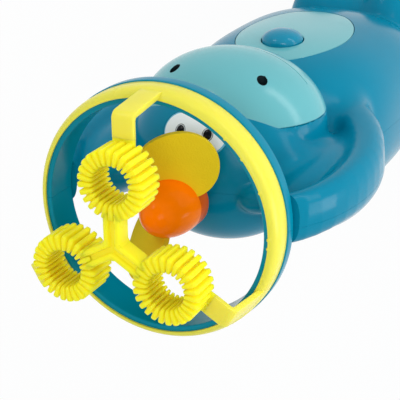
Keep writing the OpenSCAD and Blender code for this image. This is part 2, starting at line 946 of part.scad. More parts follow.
// Half of the collar around the motor can, with a lug on each side
module motor_half(side) {
    difference() {
        intersection() {
            union() {
                translate([0, fan_back, saddle_z])
                    cylinder(h = saddle_h, r = motor_d / 2 + clamp_t, $fn = 64);
                translate([-lug_x, fan_back - lug_t, clamp_screw_z - lug_h / 2])
                    cube([2 * lug_x, 2 * lug_t, lug_h]);
            }
            translate([-far / 2, side > 0 ? fan_back + fixed_gap / 2 : fan_back - fixed_gap / 2 - far, 0])
                cube([far, far, 2 * far]);
        }
        translate([0, fan_back, saddle_z - 1])
            cylinder(h = saddle_h + 2, r = motor_d / 2 + fixed_gap / 2, $fn = 64);
        for (x = [-1, 1])
            bar(x * clamp_screw_x, clamp_screw_z, -far / 2, far / 2, clear_r, 32);
    }
}

module motor_saddle() color("#d8d8d0") motor_half(1);

module motor_clamp() color("#d8d8d0") motor_half(-1);

module clamp_screws() color("silver") {
    head_f = lug_t - fan_back;
    for (x = [-1, 1]) {
        bar(x * clamp_screw_x, clamp_screw_z, head_f, head_f + head_h, head_r, 32);
        bar(x * clamp_screw_x, clamp_screw_z, -fan_back - lug_t - screw_in, head_f, screw_r, 32);
    }
}

module shaft_seal() color("#2a2c2e") {
    translate([0, fan_back, 0])
        difference() {
            union() {
                translate([0, 0, seal_low])
                    cylinder(h = crown_z - seal_low + 1, r = seal_r, $fn = 48);
                translate([0, 0, crown_z + fixed_gap])
                    cylinder(h = seal_flange_t, r = seal_flange_r, $fn = 48);
            }
            translate([0, 0, seal_low - 1])
                cylinder(h = far, r = shaft_r + seal_clear, $fn = 32);
        }
}

// Fan: a domed hub and a collar that grip two foam blades by their tabs

module blade_slots() {
    for (turn = [0, 180])
        rotate([0, 0, turn])
            translate([0, 0, blade_z])
                rotate([0, blade_pitch, 0])
                    translate([-blade_w / 2, tab_in - running_gap, -blade_t / 2 - running_gap])
                        cube([blade_w, hub_d, blade_t + 2 * running_gap]);
}

// Turns the fan's pieces to their place at rest
module on_fan() {
    translate([0, fan_back, 0])
        rotate([0, 0, fan_turn])
            children();
}

module fan_dome() color("#fa7800") {
    steps = 9;
    on_fan()
        difference() {
            rotate_extrude($fn = 64)
                polygon(concat([[0, hub_z]], [for (i = [0:steps]) let (a = 90 * i / steps)
                    [hub_d / 2 * cos(a), hub_z + running_gap + (dome_l - running_gap) * sin(a)]]));
            translate([0, 0, hub_z - 1])
                cylinder(h = shaft_top - hub_z + 1 + fixed_gap, r = shaft_r + hub_clear, $fn = 32);
            blade_slots();
        }
}

module fan_collar() color("#e06a00") {
    on_fan()
        difference() {
            translate([0, 0, hub_z - collar_l])
                cylinder(h = collar_l - running_gap, r = hub_d / 2, $fn = 64);
            translate([0, 0, hub_z - collar_l - 1])
                cylinder(h = far, r = shaft_r + hub_clear, $fn = 32);
            blade_slots();
        }
}

// Outline of one paddle blade, out from the hub along Y
module blade_outline() {
    mid = blade_reach - blade_half_l;
    steps = 36;
    from = -65;
    polygon(concat([[-tab_w / 2, tab_in]], [[tab_w / 2, tab_in]],
        [for (i = [0:steps]) let (a = from + (180 - 2 * from) * i / steps)
            [blade_w / 2 * cos(a), mid + blade_half_l * sin(a)]]));
}

module fan_blade(turn) {
    on_fan()
        rotate([0, 0, turn])
            translate([0, 0, blade_z])
                rotate([0, blade_pitch, 0])
                    translate([0, 0, -blade_t / 2])
                        linear_extrude(blade_t)
                            blade_outline();
}

module fan_blade_1() color("#dcc828") fan_blade(0);

module fan_blade_2() color("#dcc828") fan_blade(180);

// Wand: a hoop with three straps, three ribbed loops and the yoke between them

module wand_hoop() color("#ffee3c") {
    lip_top = lip_z + hoop_lip;
    base_out = hoop_d / 2 - strap_inset;
    base_in = hoop_bore_r + fixed_gap;
    top_out = base_out - strap_lean;
    rotate_extrude($fn = 96)
        polygon([[hoop_bore_r, hoop_z], [hoop_d / 2, hoop_z], [hoop_d / 2, lip_top],
            [hoop_lip_d / 2, lip_top],
            [hoop_lip_d / 2, lip_z], [hoop_bore_r, lip_z]]);
    for (angle = wand_angles)
        rotate([0, 0, angle])
            translate([0, strap_w / 2, 0])
                rotate([90, 0, 0])
                    linear_extrude(strap_w)
                        polygon([[base_in, lip_z - strap_root], [base_out, lip_z - strap_root],
                            [base_out, lip_top], [top_out, strap_top], [joint_out, strap_top],
                            [joint_out, strap_top - strap_t], [top_out - strap_t, strap_top - strap_t],
                            [base_out - strap_t, lip_top], [base_in, lip_z]]);
}

// Ribbed outline of a loop: ribs stand out of the outside and into the hole
function ribbed(root, tip) = [for (i = [0:rib_count - 1], k = [0:3])
    let (a = 360 * (i + [0, 0.15, 0.5, 0.65][k]) / rib_count, r = [root, tip, tip, root][k])
    r * [cos(a), sin(a)]];

module wand_loop(angle) {
    rotate([0, 0, angle])
        difference() {
            union() {
                translate([loop_place, 0, loop_z])
                    linear_extrude(loop_l)
                        polygon(ribbed(loop_r - rib_h, loop_r));
                translate([loop_place + loop_r - rib_h - rib_bite, -strap_w / 2, loop_z])
                    cube([joint_l + rib_h + rib_bite, strap_w, strap_t]);
                translate([joint_in, -yoke_w / 2, yoke_z])
                    cube([joint_l + rib_h + rib_bite, yoke_w, yoke_t]);
            }
            translate([loop_place, 0, loop_z - 1])
                linear_extrude(loop_l + 2)
                    polygon(ribbed(loop_hole / 2 + rib_h, loop_hole / 2));
        }
}

module wand_loop_front() color("#ffee3c") wand_loop(wand_angles[0]);

module wand_loop_left() color("#ffee3c") wand_loop(wand_angles[1]);

module wand_loop_right() color("#ffee3c") wand_loop(wand_angles[2]);

module wand_yoke() color("#ffee3c") {
    difference() {
        for (angle = wand_angles)
            rotate([0, 0, angle])
                translate([0, -yoke_w / 2, yoke_z])
                    cube([joint_in, yoke_w, yoke_t]);
        for (angle = wand_angles)
            rotate([0, 0, angle])
                translate([0, -groove_w / 2, yoke_z + yoke_t - groove_in])
                    cube([loop_place, groove_w, yoke_t]);
    }
}

// Three cells with their contacts, in the box under the battery door

module cell(place, flip) {
    low = box_z + contact_t + fixed_gap + (flip ? 0 : cell_spring_l);
    translate([place * cell_pitch, cell_y, flip ? low + cell_l : low])
        mirror([0, 0, flip ? 1 : 0]) {
            cylinder(h = cell_l - nub_h, r = cell_r, $fn = 64);
            cylinder(h = cell_l, r = nub_r, $fn = 32);
        }
}

module cell_1() color("#3a8f4a") cell(-1, false);

module cell_2() color("#3a8f4a") cell(0, true);

module cell_3() color("#3a8f4a") cell(1, false);

module contact_springs() color("silver") {
    low = box_z + contact_t + fixed_gap;
    high = box_top - contact_t - fixed_gap - cell_spring_l + running_gap;
    for (place = [-1:1])
        translate([place * cell_pitch, cell_y, place == 0 ? high : low])
            coil(contact_spring_r, contact_wire_r, contact_turns, cell_spring_l - running_gap);
}

module contact_plates() color("silver") {
    for (place = [-1:1], z = [box_z, box_top - contact_t])
        translate([place * cell_pitch - contact_w / 2, cell_y - contact_w / 2, z])
            cube([contact_w, contact_w, contact_t]);
}

module battery_door() color("#0591b9") moulding() {
    difference() {
        intersection() {
            difference() {
                torso(0);
                torso(panel_t);
            }
            door_block(0);
        }
        bar(0, door_screw_z, -far, -door_seat_y, head_r + fixed_gap);
        bar(0, door_screw_z, -far, 0, clear_r);
    }
}

module door_screw() color("silver") {
    bar(0, door_screw_z, -door_seat_y - head_h, -door_seat_y, head_r, 32);
    bar(0, door_screw_z, -door_seat_y, -door_seat_y + door_screw_in, screw_r, 32);
}

module shell_screws() color("silver") {
    at_shell_screws() {
        bar(0, 0, -shell_seat_y - head_h, -shell_seat_y, head_r, 32);
        bar(0, 0, -shell_seat_y, shell_pilot - screw_spare, screw_r, 32);
    }
}

module lead(route) {
    tube(route, lead_r, 8, [1, 0, 0]);
}

module lead_battery() color("#c02820") lead(lead_battery_route);

module lead_switch() color("#c02820") lead(lead_switch_route);

module lead_motor() color("#202224") lead(lead_motor_route);

front_shell();
back_shell();
ring_front();
ring_back();
ring_dowels();
muzzle_cap();
muzzle_screws();
eye_plate();
pupils();
belly_panel();
push_button();
button_spring();
switch_plunger();
switch_body();
switch_plate();
plate_screws();
motor();
motor_shaft();
motor_saddle();
motor_clamp();
clamp_screws();
shaft_seal();
fan_dome();
fan_collar();
fan_blade_1();
fan_blade_2();
wand_hoop();
wand_yoke();
wand_loop_front();
wand_loop_left();
wand_loop_right();
cell_1();
cell_2();
cell_3();
contact_springs();
contact_plates();
battery_door();
door_screw();
shell_screws();
lead_battery();
lead_switch();
lead_motor();
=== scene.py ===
from functools import partial
from math import acos, cos, hypot, pi, radians, sin, sqrt, tan

import bpy
import numpy as np
from mathutils import Matrix, Vector


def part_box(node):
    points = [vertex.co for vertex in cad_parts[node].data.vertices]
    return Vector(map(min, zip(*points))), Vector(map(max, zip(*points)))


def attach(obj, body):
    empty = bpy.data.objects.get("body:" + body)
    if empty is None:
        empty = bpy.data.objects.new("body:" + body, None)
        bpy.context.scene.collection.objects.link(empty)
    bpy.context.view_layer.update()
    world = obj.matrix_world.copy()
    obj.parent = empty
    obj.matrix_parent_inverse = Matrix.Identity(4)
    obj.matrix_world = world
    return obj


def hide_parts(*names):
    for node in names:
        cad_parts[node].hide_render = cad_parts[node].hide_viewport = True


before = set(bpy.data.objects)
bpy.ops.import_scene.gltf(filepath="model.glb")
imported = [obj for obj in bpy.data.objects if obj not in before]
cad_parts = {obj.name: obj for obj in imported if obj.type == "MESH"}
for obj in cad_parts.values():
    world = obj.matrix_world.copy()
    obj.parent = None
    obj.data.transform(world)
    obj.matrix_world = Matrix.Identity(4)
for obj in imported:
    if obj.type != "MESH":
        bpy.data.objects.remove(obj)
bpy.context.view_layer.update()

# Camera. It looks down over the figure's head along the ring's axis, from in front and a little to one side,
# where the ring fills the lower left of the picture and the feet run out of the upper right.
scene = bpy.context.scene
view_right = (-0.89702, 0.00551, -0.44195)
view_up = (0.16854, -0.9201, -0.35357)
view_back = (-0.40858, -0.39165, 0.82442)
camera_place = (-0.21535, -0.19751, 0.65779)
camera_data = bpy.data.cameras.new("camera")
camera_data.sensor_width = 36.0
camera_data.lens = 103.95
camera_data.clip_start = 0.02
camera_data.clip_end = 20.0
camera = bpy.data.objects.new("camera", camera_data)
camera.matrix_world = Matrix(((*view_right, 0.0), (*view_up, 0.0), (*view_back, 0.0),
    (*camera_place, 1.0))).transposed()
scene.collection.objects.link(camera)
scene.camera = camera

# Studio. A pale seamless floor under soft light: a large lamp overhead, a smaller one in front, a square
# softbox whose reflection sits on the arm, and a low strip lamp that draws the long streak on the muzzle.
scene.view_settings.view_transform = "Standard"


def plug(tree, socket, value):
    """Sets a socket to a value, or feeds it from another socket."""
    if isinstance(value, bpy.types.NodeSocket):
        tree.links.new(value, socket)
    else:
        socket.default_value = value


def fed(tree, node, **values):
    """Plugs values into a node's sockets by their names, with _ for a space."""
    for label, value in values.items():
        plug(tree, node.inputs[label.replace("_", " ")], value)
    return node


def added(tree, kind, **values):
    """New shader node of one kind, fed with values."""
    return fed(tree, tree.nodes.new("ShaderNode" + kind), **values)


def worked(tree, operation, *terms):
    """Result of a sum on sockets and numbers."""
    node = added(tree, "Math")
    node.operation = operation
    for socket, term in zip(node.inputs, terms):
        plug(tree, socket, term)
    return node.outputs["Value"]


def shown_white(tree, lit, white, out, share):
    """Lets one shader light the scene, and shows a share of the white one to the camera and in gloss."""
    rays = added(tree, "LightPath").outputs
    mirrored = worked(tree, "MAXIMUM", rays["Is Glossy Ray"], rays["Is Transmission Ray"])
    seen = worked(tree, "MAXIMUM", rays["Is Camera Ray"], mirrored)
    mix = added(tree, "MixShader", Fac=worked(tree, "MULTIPLY", seen, share))
    plug(tree, mix.inputs[1], lit.outputs[0])
    plug(tree, mix.inputs[2], white.outputs[0])
    added(tree, out, Surface=mix.outputs["Shader"])


world = bpy.data.worlds.new("studio")
scene.world = world
world.use_nodes = True
sky = world.node_tree
sky.nodes.clear()
sky_light = added(sky, "Background", Color=(0.93, 0.97, 1.0, 1.0), Strength=0.7)
sky_white = added(sky, "Background", Color=(1.0, 1.0, 1.0, 1.0))
sky_shown = 1.0
shown_white(sky, sky_light, sky_white, "OutputWorld", sky_shown)

floor_half = 3.0
floor_corners = [(floor_half * x, floor_half * y, 0.0) for x, y in ((-1, -1), (1, -1), (1, 1), (-1, 1))]
floor_mesh = bpy.data.meshes.new("floor")
floor_mesh.from_pydata(floor_corners, [], [(0, 1, 2, 3)])
floor = bpy.data.objects.new("floor", floor_mesh)
scene.collection.objects.link(floor)
floor_paint = bpy.data.materials.new("pale_floor")
floor_paint.use_nodes = True
paint = floor_paint.node_tree
paint.nodes.clear()
floor_matt = added(paint, "BsdfDiffuse", Color=(0.86, 0.87, 0.88, 1.0))
floor_white = added(paint, "Emission", Color=(1.0, 1.0, 1.0, 1.0))
floor_shown = 0.94
shown_white(paint, floor_matt, floor_white, "OutputMaterial", floor_shown)
floor_mesh.materials.append(floor_paint)


def studio_lamp(name, place, aim, width, height, watts):
    """Oblong lamp at a place, turned to a point, that the camera doesn't see."""
    lamp_data = bpy.data.lights.new(name, "AREA")
    lamp_data.shape = "RECTANGLE"
    lamp_data.size = width
    lamp_data.size_y = height
    lamp_data.energy = watts
    lamp = bpy.data.objects.new(name, lamp_data)
    lamp.location = place
    lamp.rotation_mode = "QUATERNION"
    lamp.rotation_quaternion = (Vector(aim) - Vector(place)).to_track_quat("-Z", "Y")
    lamp.visible_camera = False
    scene.collection.objects.link(lamp)


studio_lamp("overhead_lamp", (-0.6, -0.31, 1.4), (0.0, 0.0, 0.2), 0.6, 0.6, 5.0)
studio_lamp("front_lamp", (0.45, -0.85, 0.75), (0.0, 0.0, 0.2), 0.3, 0.3, 1.6)
studio_lamp("softbox", (-0.55, 0.075, 0.09), (-0.065, -0.005, 0.24), 0.22, 0.22, 1.0)
studio_lamp("strip_lamp", (-0.69, -0.58, 0.12), (-0.02, -0.045, 0.19), 1.0, 0.16, 2.1)

# Front and back shells of the figure. Two glossy blue injection mouldings, 2.5 mm thick, meet along the
# plane through the ears, arms and feet. Six screws in deep wells at the back pull them together.
MM = 0.001
torso_middle = (0.0, 0.0, 95.0)
torso_half = (55.5, 44.5, 86.0)
torso_power = 2.7
skull_middle = (0.0, -6.0, 200.0)
skull_half = (45.0, 38.0, 34.0)
skull_back_half = (45.0, 40.8, 34.0)
muzzle_middle = (0.0, -20.0, 188.0)
muzzle_half = (45.5, 33.5, 38.0)
cap_back_y = -27.0
foot_middle = (21.0, -9.0, 14.0)
foot_half = (21.0, 46.0, 21.0)
bridge_middle = (0.0, -12.0, 12.0)
bridge_half = (12.0, 30.0, 20.0)
bridge_fillet = 10.0
ear_middle = (28.0, 2.0, 222.0)
ear_half = (10.0, 8.0, 10.0)
ear_fillet = 2.0
web_middle = (50.0, 2.0, 192.0)
web_half = (22.0, 17.0, 46.0)
web_fillet = 5.0
arm_line = ((30.0, -13.0, 138.0), (72.0, -8.0, 160.0), (75.0, -3.0, 222.0), (53.7, -3.0, 251.0))
arm_reach = 1.06
arm_power = 2.35
shoulder_half = (11.4, 12.5)
wrist_half = (4.4, 11.0)
limb_from_x = 12.0
limb_from_z = 105.0
limb_fillet = 7.0
neck_fillet = 2.5
snout_fillet = 1.0
wrist_z = 250.9
shell_wall = 2.5
beyond = 80.0
tiny = 1e-9


def rounded_depth(p, middle, half, power=2.0):
    """Distance in millimetres from points to a rounded mass, below 0 inside it."""
    q = np.abs(p - middle) / half
    k = (q ** power).sum(1) ** (1.0 / power) + tiny
    slope = np.linalg.norm(q ** (power - 1.0) / half, axis=1) * k ** (1.0 - power) + tiny
    return (k - 1.0) / slope


def soft_join(a, b, fillet):
    """Union of two forms with a fillet of about that width in the crease."""
    h = np.clip(0.5 + 0.5 * (b - a) / fillet, 0.0, 1.0)
    return b + (a - b) * h - fillet * h * (1.0 - h)


def arm_depth(q):
    """Distance to the raised arm, whose cross-section is a rounded block that thins towards the wrist."""
    t = np.linspace(0.0, arm_reach, 18)
    a, b, c, d = np.array(arm_line)
    u = t[:, None]
    line = (1 - u) ** 3 * a + 3 * (1 - u) ** 2 * u * b + 3 * (1 - u) * u * u * c + u ** 3 * d
    left = np.maximum(1.0 - t, 0.0)
    thick = wrist_half[0] + (shoulder_half[0] - wrist_half[0]) * left ** 0.8
    deep = wrist_half[1] + (shoulder_half[1] - wrist_half[1]) * left
    best = np.full(len(q), beyond)
    for i in range(len(t) - 1):
        along = line[i + 1] - line[i]
        share = np.clip((q - line[i]) @ along / (along @ along), 0.0, 1.0)
        off = q - line[i] - share[:, None] * along
        w = thick[i] + (thick[i + 1] - thick[i]) * share
        d = deep[i] + (deep[i + 1] - deep[i]) * share
        flat = np.hypot(off[:, 0], off[:, 2]) / w
        side = np.abs(off[:, 1]) / d
        k = (flat ** arm_power + side ** arm_power) ** (1.0 / arm_power) + tiny
        rise = np.hypot(flat ** (arm_power - 1.0) / w, side ** (arm_power - 1.0) / d)
        best = np.minimum(best, (k - 1.0) / (k ** (1.0 - arm_power) * rise + tiny))
    return best


def figure_depth(p):
    """Distance to the whole blue figure without its muzzle cap."""
    q = p.copy()
    q[:, 0] = np.abs(q[:, 0])
    body = rounded_depth(q, torso_middle, torso_half, torso_power)
    bridge = rounded_depth(q, bridge_middle, bridge_half)
    feet = soft_join(rounded_depth(q, foot_middle, foot_half), bridge, bridge_fillet)
    body = soft_join(body, feet, neck_fillet)
    head_half = np.where(q[:, 1:2] > skull_middle[1], skull_back_half, skull_half)
    head = rounded_depth(q, skull_middle, head_half)
    snout = np.maximum(rounded_depth(q, muzzle_middle, muzzle_half), cap_back_y - q[:, 1])
    head = soft_join(head, snout, snout_fillet)
    head = soft_join(head, rounded_depth(q, ear_middle, ear_half), ear_fillet)
    near = (q[:, 0] > limb_from_x) & (q[:, 2] > limb_from_z)
    limb = np.full(len(q), beyond)
    limb[near] = soft_join(arm_depth(q[near]), rounded_depth(q[near], web_middle, web_half), web_fillet)
    body = soft_join(body, head, neck_fillet)
    return soft_join(body, limb, limb_fillet)


def sampled(field, low, high, step):
    """Values of a field on a grid of points, with the grid's own corner."""
    axes = [np.arange(a, b + step, step) for a, b in zip(low, high)]
    values = np.empty([len(a) for a in axes])
    ys, zs = np.meshgrid(axes[1], axes[2], indexing="ij")
    for i, x in enumerate(axes[0]):
        points = np.stack([np.full(ys.size, x), ys.ravel(), zs.ravel()], 1)
        values[i] = field(points).reshape(ys.shape)
    return values, np.array([a[0] for a in axes])


def skin_at(field, values, corner, step, level):
    """Closed skin where a field has one value: a point in each cell that it crosses, drawn onto it."""
    inside = values < level
    cells = tuple(n - 1 for n in inside.shape)
    corners = [(i, j, k) for i in (0, 1) for j in (0, 1) for k in (0, 1)]

    def at(grid, c):
        return grid[c[0]:c[0] + cells[0], c[1]:c[1] + cells[1], c[2]:c[2] + cells[2]]

    count = sum(at(inside, c).astype(np.int8) for c in corners)
    crossed = (count > 0) & (count < len(corners))
    index = np.full(cells, -1)
    index[crossed] = np.arange(crossed.sum())
    total = np.zeros((crossed.sum(), 3))
    hits = np.zeros(crossed.sum())
    for c in corners:
        for axis in (n for n in range(3) if not c[n]):
            other = tuple(v + (n == axis) for n, v in enumerate(c))
            f0 = at(values, c)[crossed]
            f1 = at(values, other)[crossed]
            cut = (f0 < level) != (f1 < level)
            place = np.tile(np.array(c, float), (len(f0), 1))
            place[cut, axis] += (level - f0[cut]) / (f1[cut] - f0[cut])
            total[cut] += place[cut]
            hits[cut] += 1
    points = corner + step * (np.argwhere(crossed) + total / hits[:, None])
    faces = []
    for axis in range(3):
        lows = [slice(1, -1)] * 3
        lows[axis] = slice(0, -1)
        highs = [slice(1, -1)] * 3
        highs[axis] = slice(1, None)
        first = inside[tuple(lows)]
        turn = first != inside[tuple(highs)]
        base = np.argwhere(turn) + np.array([0 if n == axis else 1 for n in range(3)])
        quad = []
        for da, db in ((1, 1), (0, 1), (0, 0), (1, 0)):
            cell = base.copy()
            cell[:, (axis + 1) % 3] -= da
            cell[:, (axis + 2) % 3] -= db
            quad.append(index[tuple(cell.T)])
        quad = np.stack(quad, 1)
        flip = ~first[turn]
        quad[flip] = quad[flip][:, ::-1]
        faces.append(quad)
    probe = 0.05
    most = 0.6 * step
    for _ in range(3):
        value = field(points) - level
        slopes = [(field(points + d) - field(points - d)) / (2 * probe) for d in np.eye(3) * probe]
        slope = np.stack(slopes, 1)
        size = np.maximum((slope * slope).sum(1), 0.25)
        points = points + np.clip(-value[:, None] * slope / size[:, None], -most, most)
    return points, np.concatenate(faces)


def solid(name, points, faces):
    """Object of that name from points in millimetres and their faces."""
    mesh = bpy.data.meshes.new(name)
    places = [tuple(p) for p in np.asarray(points, float) * MM]
    mesh.from_pydata(places, [], [tuple(int(i) for i in f) for f in faces])
    mesh.update()
    made = bpy.data.objects.new(name, mesh)
    scene.collection.objects.link(made)
    return made


def applied(piece, step):
    """Makes a modifier's result the piece's own mesh."""
    made = bpy.data.meshes.new_from_object(piece.evaluated_get(bpy.context.evaluated_depsgraph_get()))
    piece.modifiers.remove(step)
    old = piece.data
    piece.data = made
    bpy.data.meshes.remove(old)
    return piece


def combine(piece, tool, how="DIFFERENCE"):
    """Cuts a tool out of a piece, or joins them or keeps what they share; the tool is used up."""
    step = piece.modifiers.new("combine", "BOOLEAN")
    step.operation = how
    step.solver = "MANIFOLD"
    step.object = tool
    applied(piece, step)
    bpy.data.objects.remove(tool)
    return piece


joined = partial(combine, how="UNION")
shared = partial(combine, how="INTERSECT")


def band(rings, sides, first=0, wrap=False, flip=False):
    """Faces between rings of points that follow one another; wrap joins the last ring to the first."""
    faces = []
    for i in range(rings if wrap else rings - 1):
        low = first + i * sides
        high = first + (i + 1) % rings * sides
        for j in range(sides):
            k = (j + 1) % sides
            a, b, c, d = low + j, low + k, high + k, high + j
            faces.append((a, d, c, b) if flip else (a, b, c, d))
    return faces


def swept(name, rings, wrap=False, flip=False):
    """Closed solid through rings of points, with flat ends unless the last ring joins the first."""
    sides = len(rings[0])
    points = [p for ring in rings for p in ring]
    faces = band(len(rings), sides, 0, wrap, flip)
    if not wrap:
        first = range(sides)
        last = range(len(points) - sides, len(points))
        faces += [tuple(first), tuple(reversed(last))] if flip else [tuple(reversed(first)), tuple(last)]
    return solid(name, points, faces)


def tip_faces(tip, first, sides, flip):
    """Triangles between a tip and the ring of points next to it."""
    pairs = [(first + j, first + (j + 1) % sides) for j in range(sides)]
    return [(tip, b, a) if flip else (tip, a, b) for a, b in pairs]


def domed(name, start, rings, end=None, flip=False):
    """Closed solid from a tip through rings of points to a tip at the other end, or to a flat end."""
    sides = len(rings[0])
    points = [start] + [p for ring in rings for p in ring]
    last = len(points) - sides
    faces = tip_faces(0, 1, sides, not flip) + band(len(rings), sides, 1, flip=flip)
    if end is None:
        flat = range(last, last + sides)
        faces.append(tuple(reversed(flat)) if flip else tuple(flat))
    else:
        points.append(end)
        faces += tip_faces(last + sides, last, sides, flip)
    return solid(name, points, faces)


def turns(count):
    """Angles of a full turn in equal steps."""
    return [2 * pi * i / count for i in range(count)]


def quarter(steps):
    """Angles from 0 to a right angle in equal steps."""
    return [radians(90.0 * i / steps) for i in range(steps + 1)]


def ellipse(x, y, half_x, half_y, count):
    """Outline of an ellipse that runs from its first axis to its second."""
    return [(x + half_x * cos(a), y + half_y * sin(a)) for a in turns(count)]


def circle(x, y, r, count):
    """Outline of a circle."""
    return ellipse(x, y, r, r, count)


def block(low, high):
    """Block between two corners as a tool."""
    (a, b, c), (d, e, f) = low, high
    return swept("tool", [[(a, b, z), (d, b, z), (d, e, z), (a, e, z)] for z in (c, f)])


def prism_y(outline, y0, y1):
    """Prism along Y as a tool, with an outline of points in x and z."""
    return swept("tool", [[(x, y, z) for x, z in outline] for y in (y1, y0)])


def round_bar(x, z, y0, y1, r, count=40):
    """Round bar along Y as a tool."""
    return prism_y(circle(x, z, r, count), y0, y1)


def post_z(x, y, r, z0, z1):
    """Round post along Z as a tool."""
    return swept("tool", [[(a, b, z) for a, b in circle(x, y, r, 64)] for z in (z0, z1)])


def rounded_mass(middle, half, sides=96):
    """Rounded mass as a tool, from rings of points about the Z axis."""
    x, y, z = middle
    rows = sides // 2
    rings = []
    for i in range(1, rows):
        lat = pi * (i / rows - 0.5)
        flat = ellipse(x, y, half[0] * cos(lat), half[1] * cos(lat), sides)
        rings.append([(a, b, z + half[2] * sin(lat)) for a, b in flat])
    return domed("tool", (x, y, z - half[2]), rings, (x, y, z + half[2]))


def drawn_in(half, inset):
    """Half sizes of a mass that is smaller all round."""
    return tuple(h - inset for h in half)


def eased(corners, steps=5):
    """Closed outline from corners of two places and a radius, with each corner rounded."""
    line = []
    count = len(corners)
    for i, (x, y, r) in enumerate(corners):
        here = Vector((x, y))
        back = (Vector(corners[i - 1][:2]) - here).normalized()
        ahead = (Vector(corners[(i + 1) % count][:2]) - here).normalized()
        half = back.angle(ahead) / 2
        run = r / tan(half)
        middle = here + (back + ahead).normalized() * (r / sin(half))
        first = here + back * run - middle
        last = here + ahead * run - middle
        for s in range(steps + 1):
            way = first.lerp(last, s / steps)
            point = middle + way.normalized() * r if r else here
            line.append((point.x, point.y))
    return line


cell_size = 1.25
lip_inset = 0.04
ledge_inset = 4.6
figure_values, figure_corner = sampled(figure_depth, (-78.0, -60.0, -10.0), (78.0, 60.0, 262.0), cell_size)
outer_skin = skin_at(figure_depth, figure_values, figure_corner, cell_size, 0.0)
lip_skin = skin_at(figure_depth, figure_values, figure_corner, cell_size, -lip_inset)
rough_values = figure_values[::2, ::2, ::2]
inner_skin, boss_skin, ledge_skin = (skin_at(figure_depth, rough_values, figure_corner, 2 * cell_size, -inset)
    for inset in (shell_wall, shell_wall / 2, ledge_inset))
far = 90.0
wrist_wall = 5.0


def half_shell(name, low_y, high_y, lip_low, lip_high):
    """One half of the figure as a hollow moulding, with a fine step along its parting line."""
    half = shared(solid(name, *outer_skin), block((-far, low_y, 0.0), (far, high_y, wrist_z)))
    lip_room = block((-far, lip_low, 0.0), (far, lip_high, wrist_z))
    half = joined(half, shared(solid("tool", *lip_skin), lip_room))
    room = block((-far, -far, shell_wall), (far, far, wrist_z - wrist_wall))
    return combine(half, shared(solid("tool", *inner_skin), room))


fan_y = 1.5
seal_hole = 5.0
crown_cut = (210.0, 250.0)
panel_half = (28.5, 42.0)
panel_z = 110.5
panel_seam = 0.28
eye_place = (0.0, -25.65, 229.1)
eye_lean = radians(28.4)
eye_apart = 6.7
eye_plate_radius = 9.0
eye_cut = 6.0
eye_sides = 96


def eye_edge(turn, grow):
    """Distance from the middle to the rim of the eye plate, an oblong with round ends."""
    r = eye_plate_radius + grow
    across, up = abs(cos(turn)), abs(sin(turn))
    if r * across <= eye_apart * up:
        return r / up
    return eye_apart * across + sqrt(r * r - (eye_apart * up) ** 2)


def on_crown(u, v, w):
    """Point of the tilted eye plane: across the face, back over the crown, and out of the skin."""
    return (eye_place[0] + u, eye_place[1] + v * cos(eye_lean) - w * sin(eye_lean),
        eye_place[2] + v * sin(eye_lean) + w * cos(eye_lean))


def crown_lift(u, v):
    """Height of the skull's skin above the tilted eye plane."""
    base = np.subtract(on_crown(u, v, 0.0), skull_middle) / skull_half
    way = np.subtract(on_crown(u, v, 1.0), on_crown(u, v, 0.0)) / skull_half
    a, b, c = way @ way, base @ way, base @ base - 1.0
    return (-b + sqrt(max(b * b - a * c, 0.0))) / a


parting = 0.02
lip_end = 0.15
skin_end = 0.1
fixed_gap = 0.12
snout_web_inset = 1.25
snout_web_wall = 2.0
front = half_shell("figure_front", -far, -skin_end, -lip_end, -parting)
snout_room = shared(rounded_mass(muzzle_middle, drawn_in(muzzle_half, -fixed_gap)),
    block((-far, -far, 0.0), (far, cap_back_y, wrist_z)))
front = combine(front, snout_room)
snout_web = shared(rounded_mass(muzzle_middle, drawn_in(muzzle_half, snout_web_inset)),
    block((-far, cap_back_y, 0.0), (far, cap_back_y + snout_web_wall, wrist_z)))
front = joined(front, snout_web)
panel_room = ellipse(0.0, panel_z, *drawn_in(panel_half, -panel_seam), 96)
front = combine(front, prism_y(panel_room, -60.0, -20.0))
eye_rim = [(eye_edge(a, fixed_gap) * cos(a), eye_edge(a, fixed_gap) * sin(a))
    for a in turns(eye_sides)]
front = combine(front, swept("tool", [[on_crown(u, v, w) for u, v in eye_rim] for w in (-eye_cut, eye_cut)]))
front = combine(front, post_z(0.0, fan_y, seal_hole, *crown_cut))

boss_radius = 4.0
boss_front_y = 1.0
well_radius = 2.4
well_seat_y = 8.0
door_half_x = 27.0
door_low_z = 64.0
door_high_z = 142.0
door_seam = 0.25
door_corner = 3.0
door_front_y = 20.0
door_ledge = 4.0
bay_half_x = 23.4
bay_front_y = 23.5
bay_low_z = 69.0
bay_high_z = 127.0
bay_wall = 1.6
back = half_shell("figure_back", skin_end, far, parting, lip_end)
for side in (-1, 1):
    for x, z in ((34.0, 205.0), (38.0, 146.0), (42.0, 62.0)):
        boss = shared(round_bar(side * x, z, boss_front_y, beyond, boss_radius), solid("tool", *boss_skin))
        back = joined(back, boss)
        back = combine(back, round_bar(side * x, z, well_seat_y, beyond, well_radius))
hole_x = door_half_x + door_seam
hole_low = door_low_z - door_seam
hole_high = door_high_z + door_seam
hole_corners = ((-hole_x, hole_low), (hole_x, hole_low), (hole_x, hole_high), (-hole_x, hole_high))
back = combine(back, prism_y(eased([(x, z, door_corner) for x, z in hole_corners]), door_front_y, beyond))
ledge_room = block((-door_half_x - door_ledge, door_front_y, door_low_z - door_ledge),
    (door_half_x + door_ledge, beyond, door_high_z + door_ledge))
ledge = shared(solid("tool", *inner_skin), ledge_room)
ledge = combine(ledge, solid("tool", *ledge_skin))
back = joined(back, ledge)
bay = block((-bay_half_x - bay_wall, bay_front_y - bay_wall, bay_low_z - bay_wall),
    (bay_half_x + bay_wall, beyond, bay_high_z + bay_wall))
